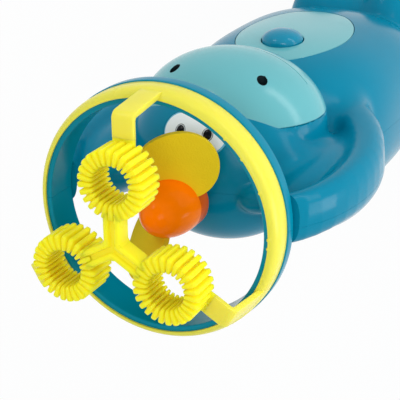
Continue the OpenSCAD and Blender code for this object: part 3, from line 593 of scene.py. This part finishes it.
back = joined(back, shared(bay, solid("tool", *inner_skin)))
back = combine(back, block((-bay_half_x, bay_front_y, bay_low_z), (bay_half_x, beyond, bay_high_z)))
back = combine(back, post_z(0.0, fan_y, seal_hole, *crown_cut))


def shade(red, green, blue):
    """Colour of a shader socket from the 0 to 255 values that a screen shows."""
    def linear(v):
        v = v / 255.0
        return v / 12.92 if v <= 0.04045 else ((v + 0.055) / 1.055) ** 2.4
    return (linear(red), linear(green), linear(blue), 1.0)


def moulded_finish():
    """Shared look of moulded plastic: drift of its colour, flow marks in its gloss, and a faint ripple."""
    group = bpy.data.node_groups.new("moulded_finish", "ShaderNodeTree")
    inputs = ("Colour", "Drift", "Gloss", "Flow", "Grain")
    for way, labels in (("INPUT", inputs), ("OUTPUT", ("Colour", "Roughness", "Height"))):
        for label in labels:
            kind = "NodeSocketColor" if label == "Colour" else "NodeSocketFloat"
            group.interface.new_socket(label, in_out=way, socket_type=kind)
    given = group.nodes.new("NodeGroupInput").outputs
    made = group.nodes.new("NodeGroupOutput").inputs
    place = added(group, "TexCoord").outputs["Object"]
    drift = added(group, "TexNoise", Vector=place, Scale=16.0, Detail=3.0)
    flow = added(group, "TexNoise", Vector=place, Scale=70.0, Detail=4.0, Distortion=0.8)
    grain = added(group, "TexNoise", Vector=place, Scale=given["Grain"], Detail=2.0)
    swing = added(group, "MapRange", Value=drift.outputs["Fac"], To_Min=-1.0, To_Max=1.0)
    value = worked(group, "MULTIPLY_ADD", swing.outputs["Result"], given["Drift"], 1.0)
    tone = added(group, "HueSaturation", Color=given["Colour"], Value=value)
    gloss = worked(group, "MULTIPLY_ADD", flow.outputs["Fac"], given["Flow"], given["Gloss"])
    plug(group, made["Colour"], tone.outputs["Color"])
    plug(group, made["Roughness"], gloss)
    plug(group, made["Height"], grain.outputs["Fac"])
    return group


moulded_group = moulded_finish()


def finished(name, colour, gloss, drift, flow, grain, strength, distance):
    """Material that wears the shared finish, with the nodes that each kind of material goes on from."""
    made = bpy.data.materials.new(name)
    made.use_nodes = True
    tree = made.node_tree
    skin = tree.nodes["Principled BSDF"]
    finish = added(tree, "Group")
    finish.node_tree = moulded_group
    fed(tree, finish, Colour=colour, Gloss=gloss, Drift=drift, Flow=flow, Grain=grain)
    bump = added(tree, "Bump", Strength=strength, Distance=distance)
    fed(tree, skin, Normal=bump.outputs["Normal"], Base_Color=finish.outputs["Colour"],
        Roughness=finish.outputs["Roughness"])
    return made, tree, skin, finish.outputs["Height"], bump.inputs["Height"]


def plastic(name, colour, gloss, drift=0.05, flow=0.08, ripple=0.02, glow=0.0, sheen=0.13):
    """Moulded plastic of one colour; glow is the light that soaks into the skin and softens its shadows."""
    made, tree, skin, height, relief = finished(name, colour, gloss, drift, flow, 1400.0, ripple, 0.0004)
    plug(tree, relief, height)
    fed(tree, skin, Specular_IOR_Level=sheen)
    if glow:
        fed(tree, skin, Subsurface_Weight=glow, Subsurface_Radius=(1.0, 0.8, 0.3), Subsurface_Scale=0.005)
    return made


def dress(piece, material, body, slot, *stands_for, angle=32.0):
    """Gives a piece its material, its shading and its body, and hides the CAD nodes that it stands for."""
    piece.data.materials.clear()
    piece.data.materials.append(material)
    piece.data.shade_smooth()
    piece.data.set_sharp_from_angle(angle=radians(angle))
    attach(piece, body)
    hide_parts(*stands_for)


blue_gloss = plastic("blue_gloss", shade(0, 124, 153), 0.14, sheen=0.09)
dress(front, blue_gloss, "figure", "blue_plastic", "front_shell")
dress(back, blue_gloss, "figure", "blue_plastic", "back_shell")

# Muzzle cap. A light teal moulding with a satin gloss, held by two screws sunk in the nostrils; the nostrils'
# walls are painted near black as shade. A fine mouth line runs across it. Its back edge sits in a step of the
# blue shell.
cap_wall = 2.3
cap_rows = 44
cap_sides = 128
cap_rim_y = cap_back_y - 0.1
cap_ease = 0.3
cap_edge_share = 0.994
nostril_x = 21.8
nostril_z = 204.4
nostril_radius = 2.4
nostril_margin = 0.02
nostril_seat_y = -41.6
nostril_post_inset = 1.1
nostril_post_radius = 4.0
nostril_post_y = -39.8
muzzle_screw_hole = 1.45
before_cap_y = -70.0
behind_cap_y = -30.0


def cap_rings(half, rim_y):
    """Rings of points about the Y axis on the muzzle's skin, from its front to a plane."""
    stop = acos((muzzle_middle[1] - rim_y) / half[1])
    rings = []
    for i in range(1, cap_rows + 1):
        a = stop * i / cap_rows
        flat = ellipse(0.0, muzzle_middle[2], half[0] * sin(a), half[2] * sin(a), cap_sides)
        rings.append([(x, muzzle_middle[1] - half[1] * cos(a), z) for x, z in flat])
    return rings


cap_inner_half = drawn_in(muzzle_half, cap_wall)
cap_outer = cap_rings(muzzle_half, cap_rim_y - cap_ease)
cap_edge = [(cap_edge_share * x, cap_rim_y, muzzle_middle[2] + cap_edge_share * (z - muzzle_middle[2]))
    for x, y, z in cap_outer[-1]]
cap_front, cap_hollow = ((0.0, muzzle_middle[1] - half[1], muzzle_middle[2])
    for half in (muzzle_half, cap_inner_half))
cap_inner = cap_rings(cap_inner_half, cap_rim_y)
cap = domed("muzzle_cap_skin", cap_front, cap_outer + [cap_edge] + cap_inner[::-1], cap_hollow, flip=True)
for side in (-1, 1):
    x = side * nostril_x
    post = shared(round_bar(x, nostril_z, before_cap_y, nostril_post_y, nostril_post_radius),
        rounded_mass(muzzle_middle, drawn_in(muzzle_half, nostril_post_inset)))
    cap = joined(cap, post)
    cap = combine(cap, round_bar(x, nostril_z, before_cap_y, nostril_seat_y, nostril_radius, 48))
    cap = combine(cap, round_bar(x, nostril_z, before_cap_y, behind_cap_y, muzzle_screw_hole))


def tube(path, radius, sides=8):
    """Round tube along a list of points as a tool."""
    path = [np.array(p, float) for p in path]
    up = np.array((0.0, 0.0, 1.0))
    rings = []
    for i, p in enumerate(path):
        along = path[min(i + 1, len(path) - 1)] - path[max(i - 1, 0)]
        along /= np.linalg.norm(along)
        u = np.cross(along, up)
        u /= np.linalg.norm(u)
        v = np.cross(along, u)
        rings.append([p + a * u + b * v for a, b in circle(0.0, 0.0, radius, sides)])
    return swept("tool", rings)


mouth_reach = 36.0
mouth_low_z = 180.0
mouth_rise = 5.5
mouth_radius = 0.42
mouth_proud = 0.05
mouth = []
for x in np.linspace(-mouth_reach, mouth_reach, 61):
    z = mouth_low_z + mouth_rise * (x / mouth_reach) ** 2
    depth = 1.0 - (x / muzzle_half[0]) ** 2 - ((z - muzzle_middle[2]) / muzzle_half[2]) ** 2
    mouth.append((x, muzzle_middle[1] - muzzle_half[1] * sqrt(depth) - mouth_proud, z))
cap = combine(cap, tube(mouth, mouth_radius))


def inlay(piece, material, chosen):
    """Gives the faces that a test picks a second material."""
    piece.data.materials.append(material)
    for face in piece.data.polygons:
        face.material_index = int(chosen(face))


def in_nostril(face):
    """Whether a face of the cap lies in the wall of a nostril."""
    off = hypot(abs(face.center.x / MM) - nostril_x, face.center.z / MM - nostril_z)
    return off < nostril_radius + nostril_margin


teal_satin = plastic("teal_satin", shade(97, 174, 180), 0.16, drift=0.03, flow=0.06, sheen=0.4)
# Nostril walls: a near-black colour on the cap's faces inside each hole, painted shade for the deep wells.
nostril_painted_shade = plastic("nostril_painted_shade", shade(14, 30, 34), 0.5, drift=0.1)
dress(cap, teal_satin, "figure", "teal_plastic", "muzzle_cap")
inlay(cap, nostril_painted_shade, in_nostril)

# Eye plate and pupils. An oblong moulded plate with a light blue edge and a raised white face lies in a
# recess of the crown. Two black ovals, each with a fine ring round it, are pressed into the white.
eye_band = 0.8
eye_rise = 0.32
white_rim = partial(eye_edge, grow=-eye_band)
plate_rim = partial(eye_edge, grow=0.0)
eye_rows = [(white_rim, share, 0.0, eye_rise) for share in (0.0, 0.25, 0.5, 0.75)]
white_edge = ((0.4, eye_rise), (0.14, 0.3), (0.03, 0.24), (0.0, 0.1))
plate_edge = ((0.5, 0.1), (0.2, 0.04), (0.08, -0.06), (0.08, -1.0))
eye_rows += [(white_rim, 1.0, inset, rise) for inset, rise in white_edge]
eye_rows += [(plate_rim, 1.0, inset, rise) for inset, rise in plate_edge]
eye_white_rows = 6


def crown_patch(name, middle, rows, count):
    """Closed patch on the crown; each row has its edge, a share of the way out, an inset and its rise."""
    rings = []
    for edge, share, inset, rise in rows[1:]:
        ring = []
        for a in turns(count):
            r = share * edge(a) - inset
            u, v = middle[0] + r * cos(a), middle[1] + r * sin(a)
            ring.append(on_crown(u, v, crown_lift(u, v) + rise))
        rings.append(ring)
    return domed(name, on_crown(*middle, crown_lift(*middle) + rows[0][3]), rings, flip=True)


eyes = crown_patch("eye_plate_skin", (0.0, 0.0), eye_rows, eye_sides)
white_gloss = plastic("white_gloss", shade(236, 240, 240), 0.16, drift=0.015, flow=0.05)
eye_edge_blue = plastic("eye_edge_blue", shade(96, 178, 206), 0.18, drift=0.03)
dress(eyes, white_gloss, "figure", "white_plastic", "eye_plate")
inlay(eyes, eye_edge_blue, lambda face: face.index // eye_sides >= eye_white_rows)

pupil_half = (1.95, 2.45)
pupil_sides = 48


def pupil_edge(a):
    """Distance from a pupil's middle to its oval edge."""
    return 1.0 / hypot(cos(a) / pupil_half[0], sin(a) / pupil_half[1])


pupil_dome = ((0.0, 0.75), (0.3, 0.74), (0.6, 0.68), (0.85, 0.55), (0.96, 0.45), (1.0, 0.36))
pupil_ring = ((0.04, 0.34), (0.32, 0.34), (0.36, 0.4), (0.46, 0.43), (0.56, 0.4), (0.6, 0.34), (0.6, -0.3))
pupil_rows = [(pupil_edge, share, 0.0, rise) for share, rise in pupil_dome]
pupil_rows += [(pupil_edge, 1.0, -out, rise) for out, rise in pupil_ring]
pupil_gap_row = 6
black_gloss = plastic("black_gloss", shade(16, 17, 19), 0.12, drift=0.2)
for side, label in ((-1, "right"), (1, "left")):
    pupil = crown_patch("pupil_" + label, (side * eye_apart, 0.0), pupil_rows, pupil_sides)
    dress(pupil, black_gloss, "figure", "black_plastic", "pupils")
    inlay(pupil, white_gloss, lambda face: face.index // pupil_sides == pupil_gap_row)

# Belly panel and push button. The panel is a light teal oval set flush in the belly with a fine seam; a
# glossy blue dome stands in its round hole and slides in when a thumb presses it.
button_z = 128.0
button_radius = 10.5
panel_hole = 10.9
panel_wall = 2.4
panel_ease = 0.45
panel_sides = 160


def torso_face(x, z):
    """Distance of the torso's skin in front of or behind its middle plane."""
    across, up = abs(x / torso_half[0]), abs((z - torso_middle[2]) / torso_half[2])
    return torso_half[1] * (1.0 - across ** torso_power - up ** torso_power) ** (1.0 / torso_power)


def edge_along(turn, z0, within):
    """Distance from a point on the middle line to the edge of a flat form, along a ray."""
    low, high = 0.0, 2 * torso_half[2]
    for _ in range(40):
        r = (low + high) / 2
        low, high = (r, high) if within(r * cos(turn), z0 + r * sin(turn)) else (low, r)
    return low


def face_plate(name, hole_z, hole, within, count, side, wall, ease, rows=30):
    """Closed curved plate on the torso's skin from a round hole to an outline, with eased edges."""
    near = [ease * share for share in (0.0, 0.06, 0.3, 1.0)]
    rings = []
    for a in turns(count):
        reach = edge_along(a, hole_z, within) - hole
        middle = [ease + (reach - 2 * ease) * i / rows for i in range(1, rows)]
        ways = []
        for d in near + middle + [reach - d for d in reversed(near)]:
            gap = max(0.0, 1.0 - min(d, reach - d) / ease)
            ways.append((d, ease * (1.0 - sqrt(1.0 - gap * gap))))
        ways += [(d, wall) for d in (reach, reach / 2, 0.0)]
        ring = []
        for d, drop in ways:
            x, z = (hole + d) * cos(a), hole_z + (hole + d) * sin(a)
            ring.append((x, side * (torso_face(x, z) - drop), z))
        rings.append(ring)
    return swept(name, rings, wrap=True, flip=side > 0)


def in_panel(x, z):
    """Whether a place in x and z is inside the panel's oval."""
    return hypot(x / panel_half[0], (z - panel_z) / panel_half[1]) < 1.0


panel = face_plate("belly_panel_skin", button_z, panel_hole, in_panel, panel_sides, -1, panel_wall,
    panel_ease)
dress(panel, teal_satin, "figure", "teal_plastic", "belly_panel")


def spun(name, profile, middle, towards, sides=96):
    """Turned solid from an outline of radius and height that starts and ends on its axis."""
    along = Vector(towards)
    one = along.orthogonal().normalized()
    two = along.cross(one)
    centre = Vector(middle)
    rings = [[centre + along * h + one * a + two * b for a, b in circle(0.0, 0.0, r, sides)]
        for r, h in profile[1:-1]]
    return domed(name, centre + along * profile[0][1], rings, centre + along * profile[-1][1], flip=True)


button_rim = 42.7
button_rise = 5.8
button_skirt = 38.2
button_stem = 3.0
button_back = -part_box("push_button")[1][1] / MM
button_outline = [(button_radius * sin(a) ** 0.96, button_rim + button_rise * cos(a))
    for a in quarter(24)]
button_outline += [(button_radius, 40.0), (button_radius, button_skirt),
    (button_radius - 0.4, button_skirt - 0.4), (button_stem, button_skirt - 0.6),
    (button_stem, button_back + 0.3), (button_stem - 0.3, button_back), (0.0, button_back)]
button = spun("push_button_dome", button_outline, (0.0, 0.0, button_z), (0.0, -1.0, 0.0))
button_blue = plastic("button_blue", shade(0, 130, 160), 0.1, drift=0.03, flow=0.04, sheen=0.25)
dress(button, button_blue, "button", "button_plastic", "push_button")

# Battery door. A blue plate that carries on the curve of the back, with eased edges, three grip ribs and one
# screw near its top. It lifts straight off the back.
door_screw_z = 135.3
door_hole = 2.6
door_wall = 2.2
door_ease = 0.5
door_sides = 200
rib_low_z = 74.0
rib_pitch = 4.0
rib_half = 11.0
rib_radius = 0.75
rib_sunk = 0.15


def in_door(x, z):
    """Whether a place in x and z is inside the door's rounded rectangle."""
    dx = abs(x) - door_half_x + door_corner
    dz = abs(z - (door_low_z + door_high_z) / 2) - (door_high_z - door_low_z) / 2 + door_corner
    return hypot(max(dx, 0.0), max(dz, 0.0)) + min(max(dx, dz), 0.0) < door_corner


door = face_plate("battery_door_skin", door_screw_z, door_hole, in_door, door_sides, 1, door_wall, door_ease)
for step in range(3):
    rib_z = rib_low_z + rib_pitch * step
    rib = [(x, torso_face(x, rib_z) - rib_sunk, rib_z) for x in np.linspace(-rib_half, rib_half, 23)]
    door = joined(door, tube(rib, rib_radius, 12))
dress(door, blue_gloss, "door", "blue_plastic", "battery_door")

# Ring. A blue tube moulded in a front and a back half that meet on a fine seam; the arms carry it, and a
# thinner neck at its front takes the wand.
ring_bore = 50.6
ring_outer = 57.2
ring_neck = 54.4
ring_back_z = 251.0
ring_step_z = 257.4
ring_front_z = 268.0
ring_seam = 0.07


def at_turn(turn, r, t, z):
    """Place at a radius and a step across it, at an angle in degrees about Z."""
    a = radians(turn)
    return (r * cos(a) - t * sin(a), r * sin(a) + t * cos(a), z)


def turned(name, outline, start, stop, sides, close):
    """Ring swept from an outline of radius and height about Z, between two angles in degrees."""
    angles = [start + (stop - start) * j / sides for j in range(sides if close else sides + 1)]
    return swept(name, [[at_turn(a, r, 0.0, z) for r, z in outline] for a in angles], close, flip=True)


ring_outline = eased([(ring_bore, ring_back_z, 0.9), (ring_outer, ring_back_z, 1.6),
    (ring_outer, ring_step_z, 0.5), (ring_neck, ring_step_z, 0.1), (ring_neck, ring_front_z, 0.3),
    (ring_bore, ring_front_z, 0.6)])
ring_blue = plastic("ring_blue", shade(0, 130, 156), 0.16, sheen=0.1)
for label, start in (("ring_front", -180.0), ("ring_back", 0.0)):
    ring = turned(label + "_skin", ring_outline, start + ring_seam, start + 180.0 - ring_seam, 110, False)
    dress(ring, ring_blue, "figure", "blue_plastic", label)

# Wand hoop. A yellow band over the ring's neck with a thin front lip and small stops on the lip; three flat
# straps rise from it and bend in to carry the loops. One springy moulding that light soaks into.
hoop_bore = ring_neck + 0.05
hoop_back = ring_step_z + 0.1
hoop_seat = ring_front_z + 0.05
hoop_front = 269.25
hoop_radius = 56.7
hoop_lip = 53.0
hoop_turn_z = 262.5
wand_turns = (-90.0, 30.0, 150.0)
strap_width = 9.5
strap_top = 291.1
strap_under = 288.8
strap_foot = 265.2
strap_bend = 269.3
strap_end = 43.0
stop_turns = (-129.5, -140.9, -157.5, -179.3, 176.3)
stop_place = 53.2
stop_z = 268.8
stop_half = (0.9, 0.9, 0.6)
hoop_outline = [(hoop_bore, hoop_back), (hoop_radius - 0.3, hoop_back),
    (hoop_radius - 0.08, hoop_back + 0.1), (hoop_radius, hoop_back + 0.35)]
hoop_outline += [(hoop_lip + (hoop_radius - hoop_lip) * cos(a),
    hoop_turn_z + (hoop_front - hoop_turn_z) * sin(a)) for a in quarter(13)]
hoop_outline += [(hoop_lip - 0.1, hoop_front - 0.1), (hoop_lip - 0.1, hoop_seat + 0.15),
    (hoop_lip, hoop_seat), (hoop_bore, hoop_seat)]
hoop = turned("wand_hoop_band", hoop_outline, 0.0, 360.0, 192, True)
strap_outline = eased([(54.6, strap_foot, 0.1), (55.9, strap_foot, 0.1), (55.9, strap_bend, 2.0),
    (53.7, strap_top, 3.4), (strap_end, strap_top, 0.1), (strap_end, strap_under, 0.1),
    (51.4, strap_under, 1.3), (53.6, strap_bend, 2.0), (54.6, 268.1, 0.1)])


def ease_edges(piece, width):
    """Rounds the sharp edges of a piece by a width in millimetres."""
    step = piece.modifiers.new("ease", "BEVEL")
    step.width = width * MM
    step.segments = 3
    step.limit_method = "ANGLE"
    step.angle_limit = radians(40.0)
    return applied(piece, step)


def slab(outline, width, turn):
    """Flat bar of a radius and height outline as a tool, centred on an angle about Z."""
    return swept("tool", [[at_turn(turn, r, t, z) for r, z in outline] for t in (width / 2, -width / 2)])


for turn in wand_turns:
    hoop = joined(hoop, ease_edges(slab(strap_outline, strap_width, turn), 0.35))
for turn in stop_turns:
    hoop = joined(hoop, rounded_mass(at_turn(turn, stop_place, 0.0, stop_z), stop_half, 16))
hoop_yellow = plastic("hoop_yellow", shade(236, 223, 78), 0.22, drift=0.03, glow=0.4)
dress(hoop, hoop_yellow, "wand", "yellow_plastic", "wand_hoop")

# Wand loops. Three yellow rings that hold the soap film, each a crown of square-cornered fins that run from
# the hole over the front and down the outside; the gaps between them store the liquid.
loop_place = 27.2
loop_back = strap_under
loop_front = 303.0
loop_outer = 15.0
loop_hole = 8.0
fin_count = 26
fin_corner = 1.5
core_hole = 9.9
core_outer = 12.6
core_front = 301.7
stub_start = 39.5
fin_shares = (-0.88, -0.8, -0.7, -0.6, -0.48, -0.28, 0.0, 0.28, 0.48, 0.6, 0.7, 0.8, 0.88, 1.0)


def loop_path():
    """Outline of a fin and of the gap beside it, from the hole's back edge over the front to the outside."""
    bend_z = loop_front - fin_corner
    rise = [loop_back + (bend_z - loop_back) * i / 8 for i in range(8)]
    bends = quarter(6)
    flat = loop_outer - loop_hole - 2 * fin_corner
    tips = [(loop_hole, z) for z in rise]
    tips += [(loop_hole + fin_corner * (1.0 - cos(a)), bend_z + fin_corner * sin(a)) for a in bends]
    tips += [(loop_hole + fin_corner + flat * i / 4, loop_front) for i in (1, 2, 3)]
    tips += [(loop_outer - fin_corner * (1.0 - cos(a)), bend_z + fin_corner * sin(a))
        for a in reversed(bends)]
    tips += [(loop_outer, z) for z in reversed(rise)]
    path = []
    for r, z in tips:
        share = (r - loop_hole) / (loop_outer - loop_hole)
        path.append(((r, z), (core_hole + (core_outer - core_hole) * share, min(z, core_front))))
    return path


def fin_swell(share):
    """How far a fin stands out at a share of the way from its middle to the middle of the gap."""
    k = min(max((abs(share) - 0.5) / 0.4, 0.0), 1.0)
    return (1.0 - 0.05 * min(abs(share) / 0.5, 1.0) ** 2) * (1.0 - k * k * (3.0 - 2.0 * k))


def fin_loop(name, turn):
    """One crown of fins about its own axis, set out from the wand's axis."""
    path = loop_path()
    rings = []
    for j in range(fin_count):
        for share in fin_shares:
            swell = fin_swell(share)
            a = 2 * pi * (j + share / 2) / fin_count
            ring = []
            for tip, root in path:
                r = root[0] + (tip[0] - root[0]) * swell
                z = root[1] + (tip[1] - root[1]) * swell
                ring.append(at_turn(turn, loop_place + r * cos(a), r * sin(a), z))
            rings.append(ring)
    return swept(name, rings, wrap=True)


wand_yellow = plastic("wand_yellow", shade(255, 232, 40), 0.24, drift=0.02, glow=1.0)
stub_end = strap_end + 0.3
stub_outline = [(stub_start, loop_back), (stub_end, loop_back), (stub_end, strap_top),
    (stub_start, strap_top)]
for turn, label in zip(wand_turns, ("front", "left", "right")):
    loop = fin_loop("loop_" + label, turn)
    loop = joined(loop, ease_edges(slab(stub_outline, strap_width, turn), 0.3))
    dress(loop, wand_yellow, "wand", "yellow_plastic", "wand_loop_" + label, angle=50.0)

# Yoke. Three deep yellow legs meet on the wand's axis and tie the loops together. A groove runs along the
# front of each between two rounded rims.
leg_half = 3.75
leg_back = loop_front - 8.0
leg_start = -0.4
leg_reach = 15.2
groove_depth = 1.6
yoke_core = 4.9
leg_section = eased([(-leg_half, leg_back, 0.8), (leg_half, leg_back, 0.8), (leg_half, loop_front, 1.2),
    (-leg_half, loop_front, 1.2)])
groove_side = [(1.0, -groove_depth), (1.2, -groove_depth + 0.25), (1.3, -0.8), (1.5, -0.38), (1.85, -0.12),
    (2.4, 0.04), (2.4, 2.0)]
groove_section = [(t, loop_front + z) for t, z in groove_side + [(-t, z) for t, z in reversed(groove_side)]]


def leg(name, section, first, last, turn):
    """Bar of one section along a radius of the wand."""
    return swept(name, [[at_turn(turn, r, t, z) for t, z in section] for r in (first, last)])


yoke = leg("wand_yoke_legs", leg_section, leg_start, leg_reach, wand_turns[0])
for turn in wand_turns[1:]:
    yoke = joined(yoke, leg("tool", leg_section, leg_start, leg_reach, turn))
yoke = joined(yoke, post_z(0.0, 0.0, yoke_core, leg_back + 0.5, loop_front - 0.5))
for turn in wand_turns:
    yoke = combine(yoke, leg("tool", groove_section, leg_start - 0.1, leg_reach + 1.0, turn))
dress(yoke, wand_yellow, "wand", "yellow_plastic", "wand_yoke")

# Fan hub. A glossy orange dome in front and a shorter collar behind, both moulded, are pressed on the motor's
# shaft. The blades' roots are held where the two meet.
fan_axis = (0.0, fan_y, 0.0)
up = (0.0, 0.0, 1.0)
hub_radius = 13.0
hub_split = 248.0
hub_seam = 0.05
dome_rim = hub_split + 0.25
dome_top = 270.0
collar_rim = hub_split - 0.25
collar_back = 240.0
dome_outline = [(hub_radius * sin(a) ** 0.92, dome_rim + (dome_top - dome_rim) * cos(a) ** 1.05)
    for a in quarter(30)]
dome_outline += [(hub_radius - 0.2, hub_split + hub_seam), (0.0, hub_split + hub_seam)]
dome = spun("fan_dome_skin", dome_outline, fan_axis, up)
hub_orange = plastic("hub_orange", shade(255, 122, 0), 0.12, drift=0.03, flow=0.05, sheen=0.05)
dress(dome, hub_orange, "fan", "orange_plastic", "fan_dome")
collar_outline = [(0.0, hub_split - hub_seam), (hub_radius - 0.2, hub_split - hub_seam),
    (hub_radius, collar_rim), (hub_radius, collar_back + 1.0), (hub_radius - 0.3, collar_back + 0.3),
    (hub_radius - 1.0, collar_back), (0.0, collar_back)]
collar = spun("fan_collar_skin", collar_outline, fan_axis, up)
# The collar is the dome's orange plastic painted darker, as shade for its place behind the dome.
collar_painted_shade_orange = plastic("collar_painted_shade_orange", shade(214, 90, 14), 0.18, drift=0.03, sheen=0.09)
dress(collar, collar_painted_shade_orange, "fan", "orange_plastic", "fan_collar")

# Fan blades. Two paddles cut from soft mustard foam sheet, steeply pitched and a little bent. Their roots are
# held in the hub.
blade_reach = 34.9
blade_half_width = 17.7
blade_half_length = 15.2
blade_half_thick = 1.3
blade_root = 8.0


def foam(name, colour):
    """Closed-cell foam: matt, with pores of two sizes and a slow drift of its colour."""
    made, tree, skin, height, relief = finished(name, colour, 0.72, 0.06, 0.15, 2600.0, 0.3, 0.0004)
    pores = added(tree, "TexVoronoi", Vector=added(tree, "TexCoord").outputs["Object"], Scale=1300.0)
    plug(tree, relief, worked(tree, "ADD", height, pores.outputs["Distance"]))
    fed(tree, skin, Specular_IOR_Level=0.15)
    return made


blade_foam = foam("blade_foam", shade(228, 196, 24))
# Cut edges: the foam painted a darker tone, as shade on edges turned away from the light.
blade_edge_painted_shade = foam("blade_edge_painted_shade", shade(206, 178, 28))


def blade(name, node, heading, root_pitch, tip_pitch, lean, root_z):
    """One foam paddle out from the hub; it twists from its root to its tip and may lean forwards."""
    middle = blade_reach - blade_half_length
    line = []
    for i in range(85):
        a = radians(-65.0 + 310.0 * i / 84)
        line.append((blade_half_width * cos(a), middle + blade_half_length * sin(a)))
    line += [(-5.2, 6.0), (-4.0, 4.5), (0.0, 4.5), (4.0, 4.5), (5.2, 6.0)]
    h = blade_half_thick
    rows = [(0.25, 0.0, h), (0.5, 0.0, h), (0.75, 0.0, h), (1.0, 1.2, h), (1.0, 0.35, h),
        (1.0, 0.1, 0.96 * h), (1.0, 0.0, 0.86 * h)]
    cut_row = len(rows)
    rows += [(share, inset, -z) for share, inset, z in reversed(rows)]

    def bent(x, y, z):
        out = max(y - blade_root, 0.0)
        pitch = radians(root_pitch + (tip_pitch - root_pitch) * out / (blade_reach - blade_root))
        x, z = x * cos(pitch) + z * sin(pitch), z * cos(pitch) - x * sin(pitch)
        place = at_turn(heading, x, y, root_z + tan(radians(lean)) * out + z)
        return (place[0], place[1] + fan_y, place[2])

    rings = []
    for share, inset, z in rows:
        ring = []
        for x, y in line:
            k = share * (1.0 - inset / hypot(x, y - middle))
            ring.append(bent(k * x, middle + k * (y - middle), z))
        rings.append(ring)
    made = domed(name, bent(0.0, middle, h), rings, bent(0.0, middle, -h), flip=True)
    dress(made, blade_foam, "fan", "blade_foam", node)
    inlay(made, blade_edge_painted_shade, lambda face: face.index // len(line) == cut_row)


blade("fan_blade_front", "fan_blade_1", 172.0, 9.7, 41.9, 0.0, 249.2)
blade("fan_blade_back", "fan_blade_2", 330.0, 48.0, 51.3, 13.7, 252.0)

# Works inside the figure. The motor in its cradle, the switch behind the button, three cells with their
# contacts, the leads and all screws keep the shapes they were drawn with.
def keep(material, *names):
    """Gives carried-over parts their material."""
    for name in names:
        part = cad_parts[name]
        part.data.materials.clear()
        part.data.materials.append(material)


def metal(name, colour, gloss, streak):
    """Drawn or plated metal with fine streaks along it and faint blotches."""
    made, tree, skin, _, relief = finished(name, colour, gloss, 0.08, 0.12, 900.0, streak, 0.0002)
    fed(tree, skin, Metallic=1.0)
    place = added(tree, "TexCoord").outputs["Object"]
    stretch = added(tree, "Mapping", Vector=place, Scale=(900.0, 900.0, 60.0))
    streaks = added(tree, "TexNoise", Vector=stretch.outputs["Vector"], Scale=1.0, Detail=3.0)
    plug(tree, relief, streaks.outputs["Fac"])
    return made


keep(metal("screw_black", shade(46, 48, 50), 0.4, 0.15), "muzzle_screws")
keep(metal("screw_steel", shade(198, 200, 202), 0.22, 0.15), "plate_screws", "clamp_screws", "shell_screws",
    "door_screw", "button_spring", "contact_springs", "contact_plates", "motor_shaft")
keep(metal("motor_can", shade(186, 188, 186), 0.3, 0.3), "motor")
keep(plastic("cradle_grey", shade(206, 206, 198), 0.4, drift=0.05, ripple=0.1), "motor_saddle", "motor_clamp",
    "switch_plate")
keep(plastic("switch_black", shade(28, 29, 31), 0.38, drift=0.15, ripple=0.1), "switch_body")
keep(plastic("plunger_white", shade(226, 228, 224), 0.3), "switch_plunger")
keep(plastic("dowel_blue", shade(8, 120, 150), 0.3), "ring_dowels")
keep(plastic("seal_rubber", shade(34, 35, 37), 0.62, drift=0.2, flow=0.2, ripple=0.25), "shaft_seal")
keep(plastic("cell_jacket", shade(44, 128, 66), 0.2, drift=0.12, flow=0.1, ripple=0.05), "cell_1", "cell_2",
    "cell_3")
keep(plastic("red_lead", shade(186, 36, 30), 0.34, drift=0.06, ripple=0.15), "lead_battery", "lead_switch")
keep(plastic("black_lead", shade(26, 26, 28), 0.36, drift=0.2, ripple=0.15), "lead_motor")
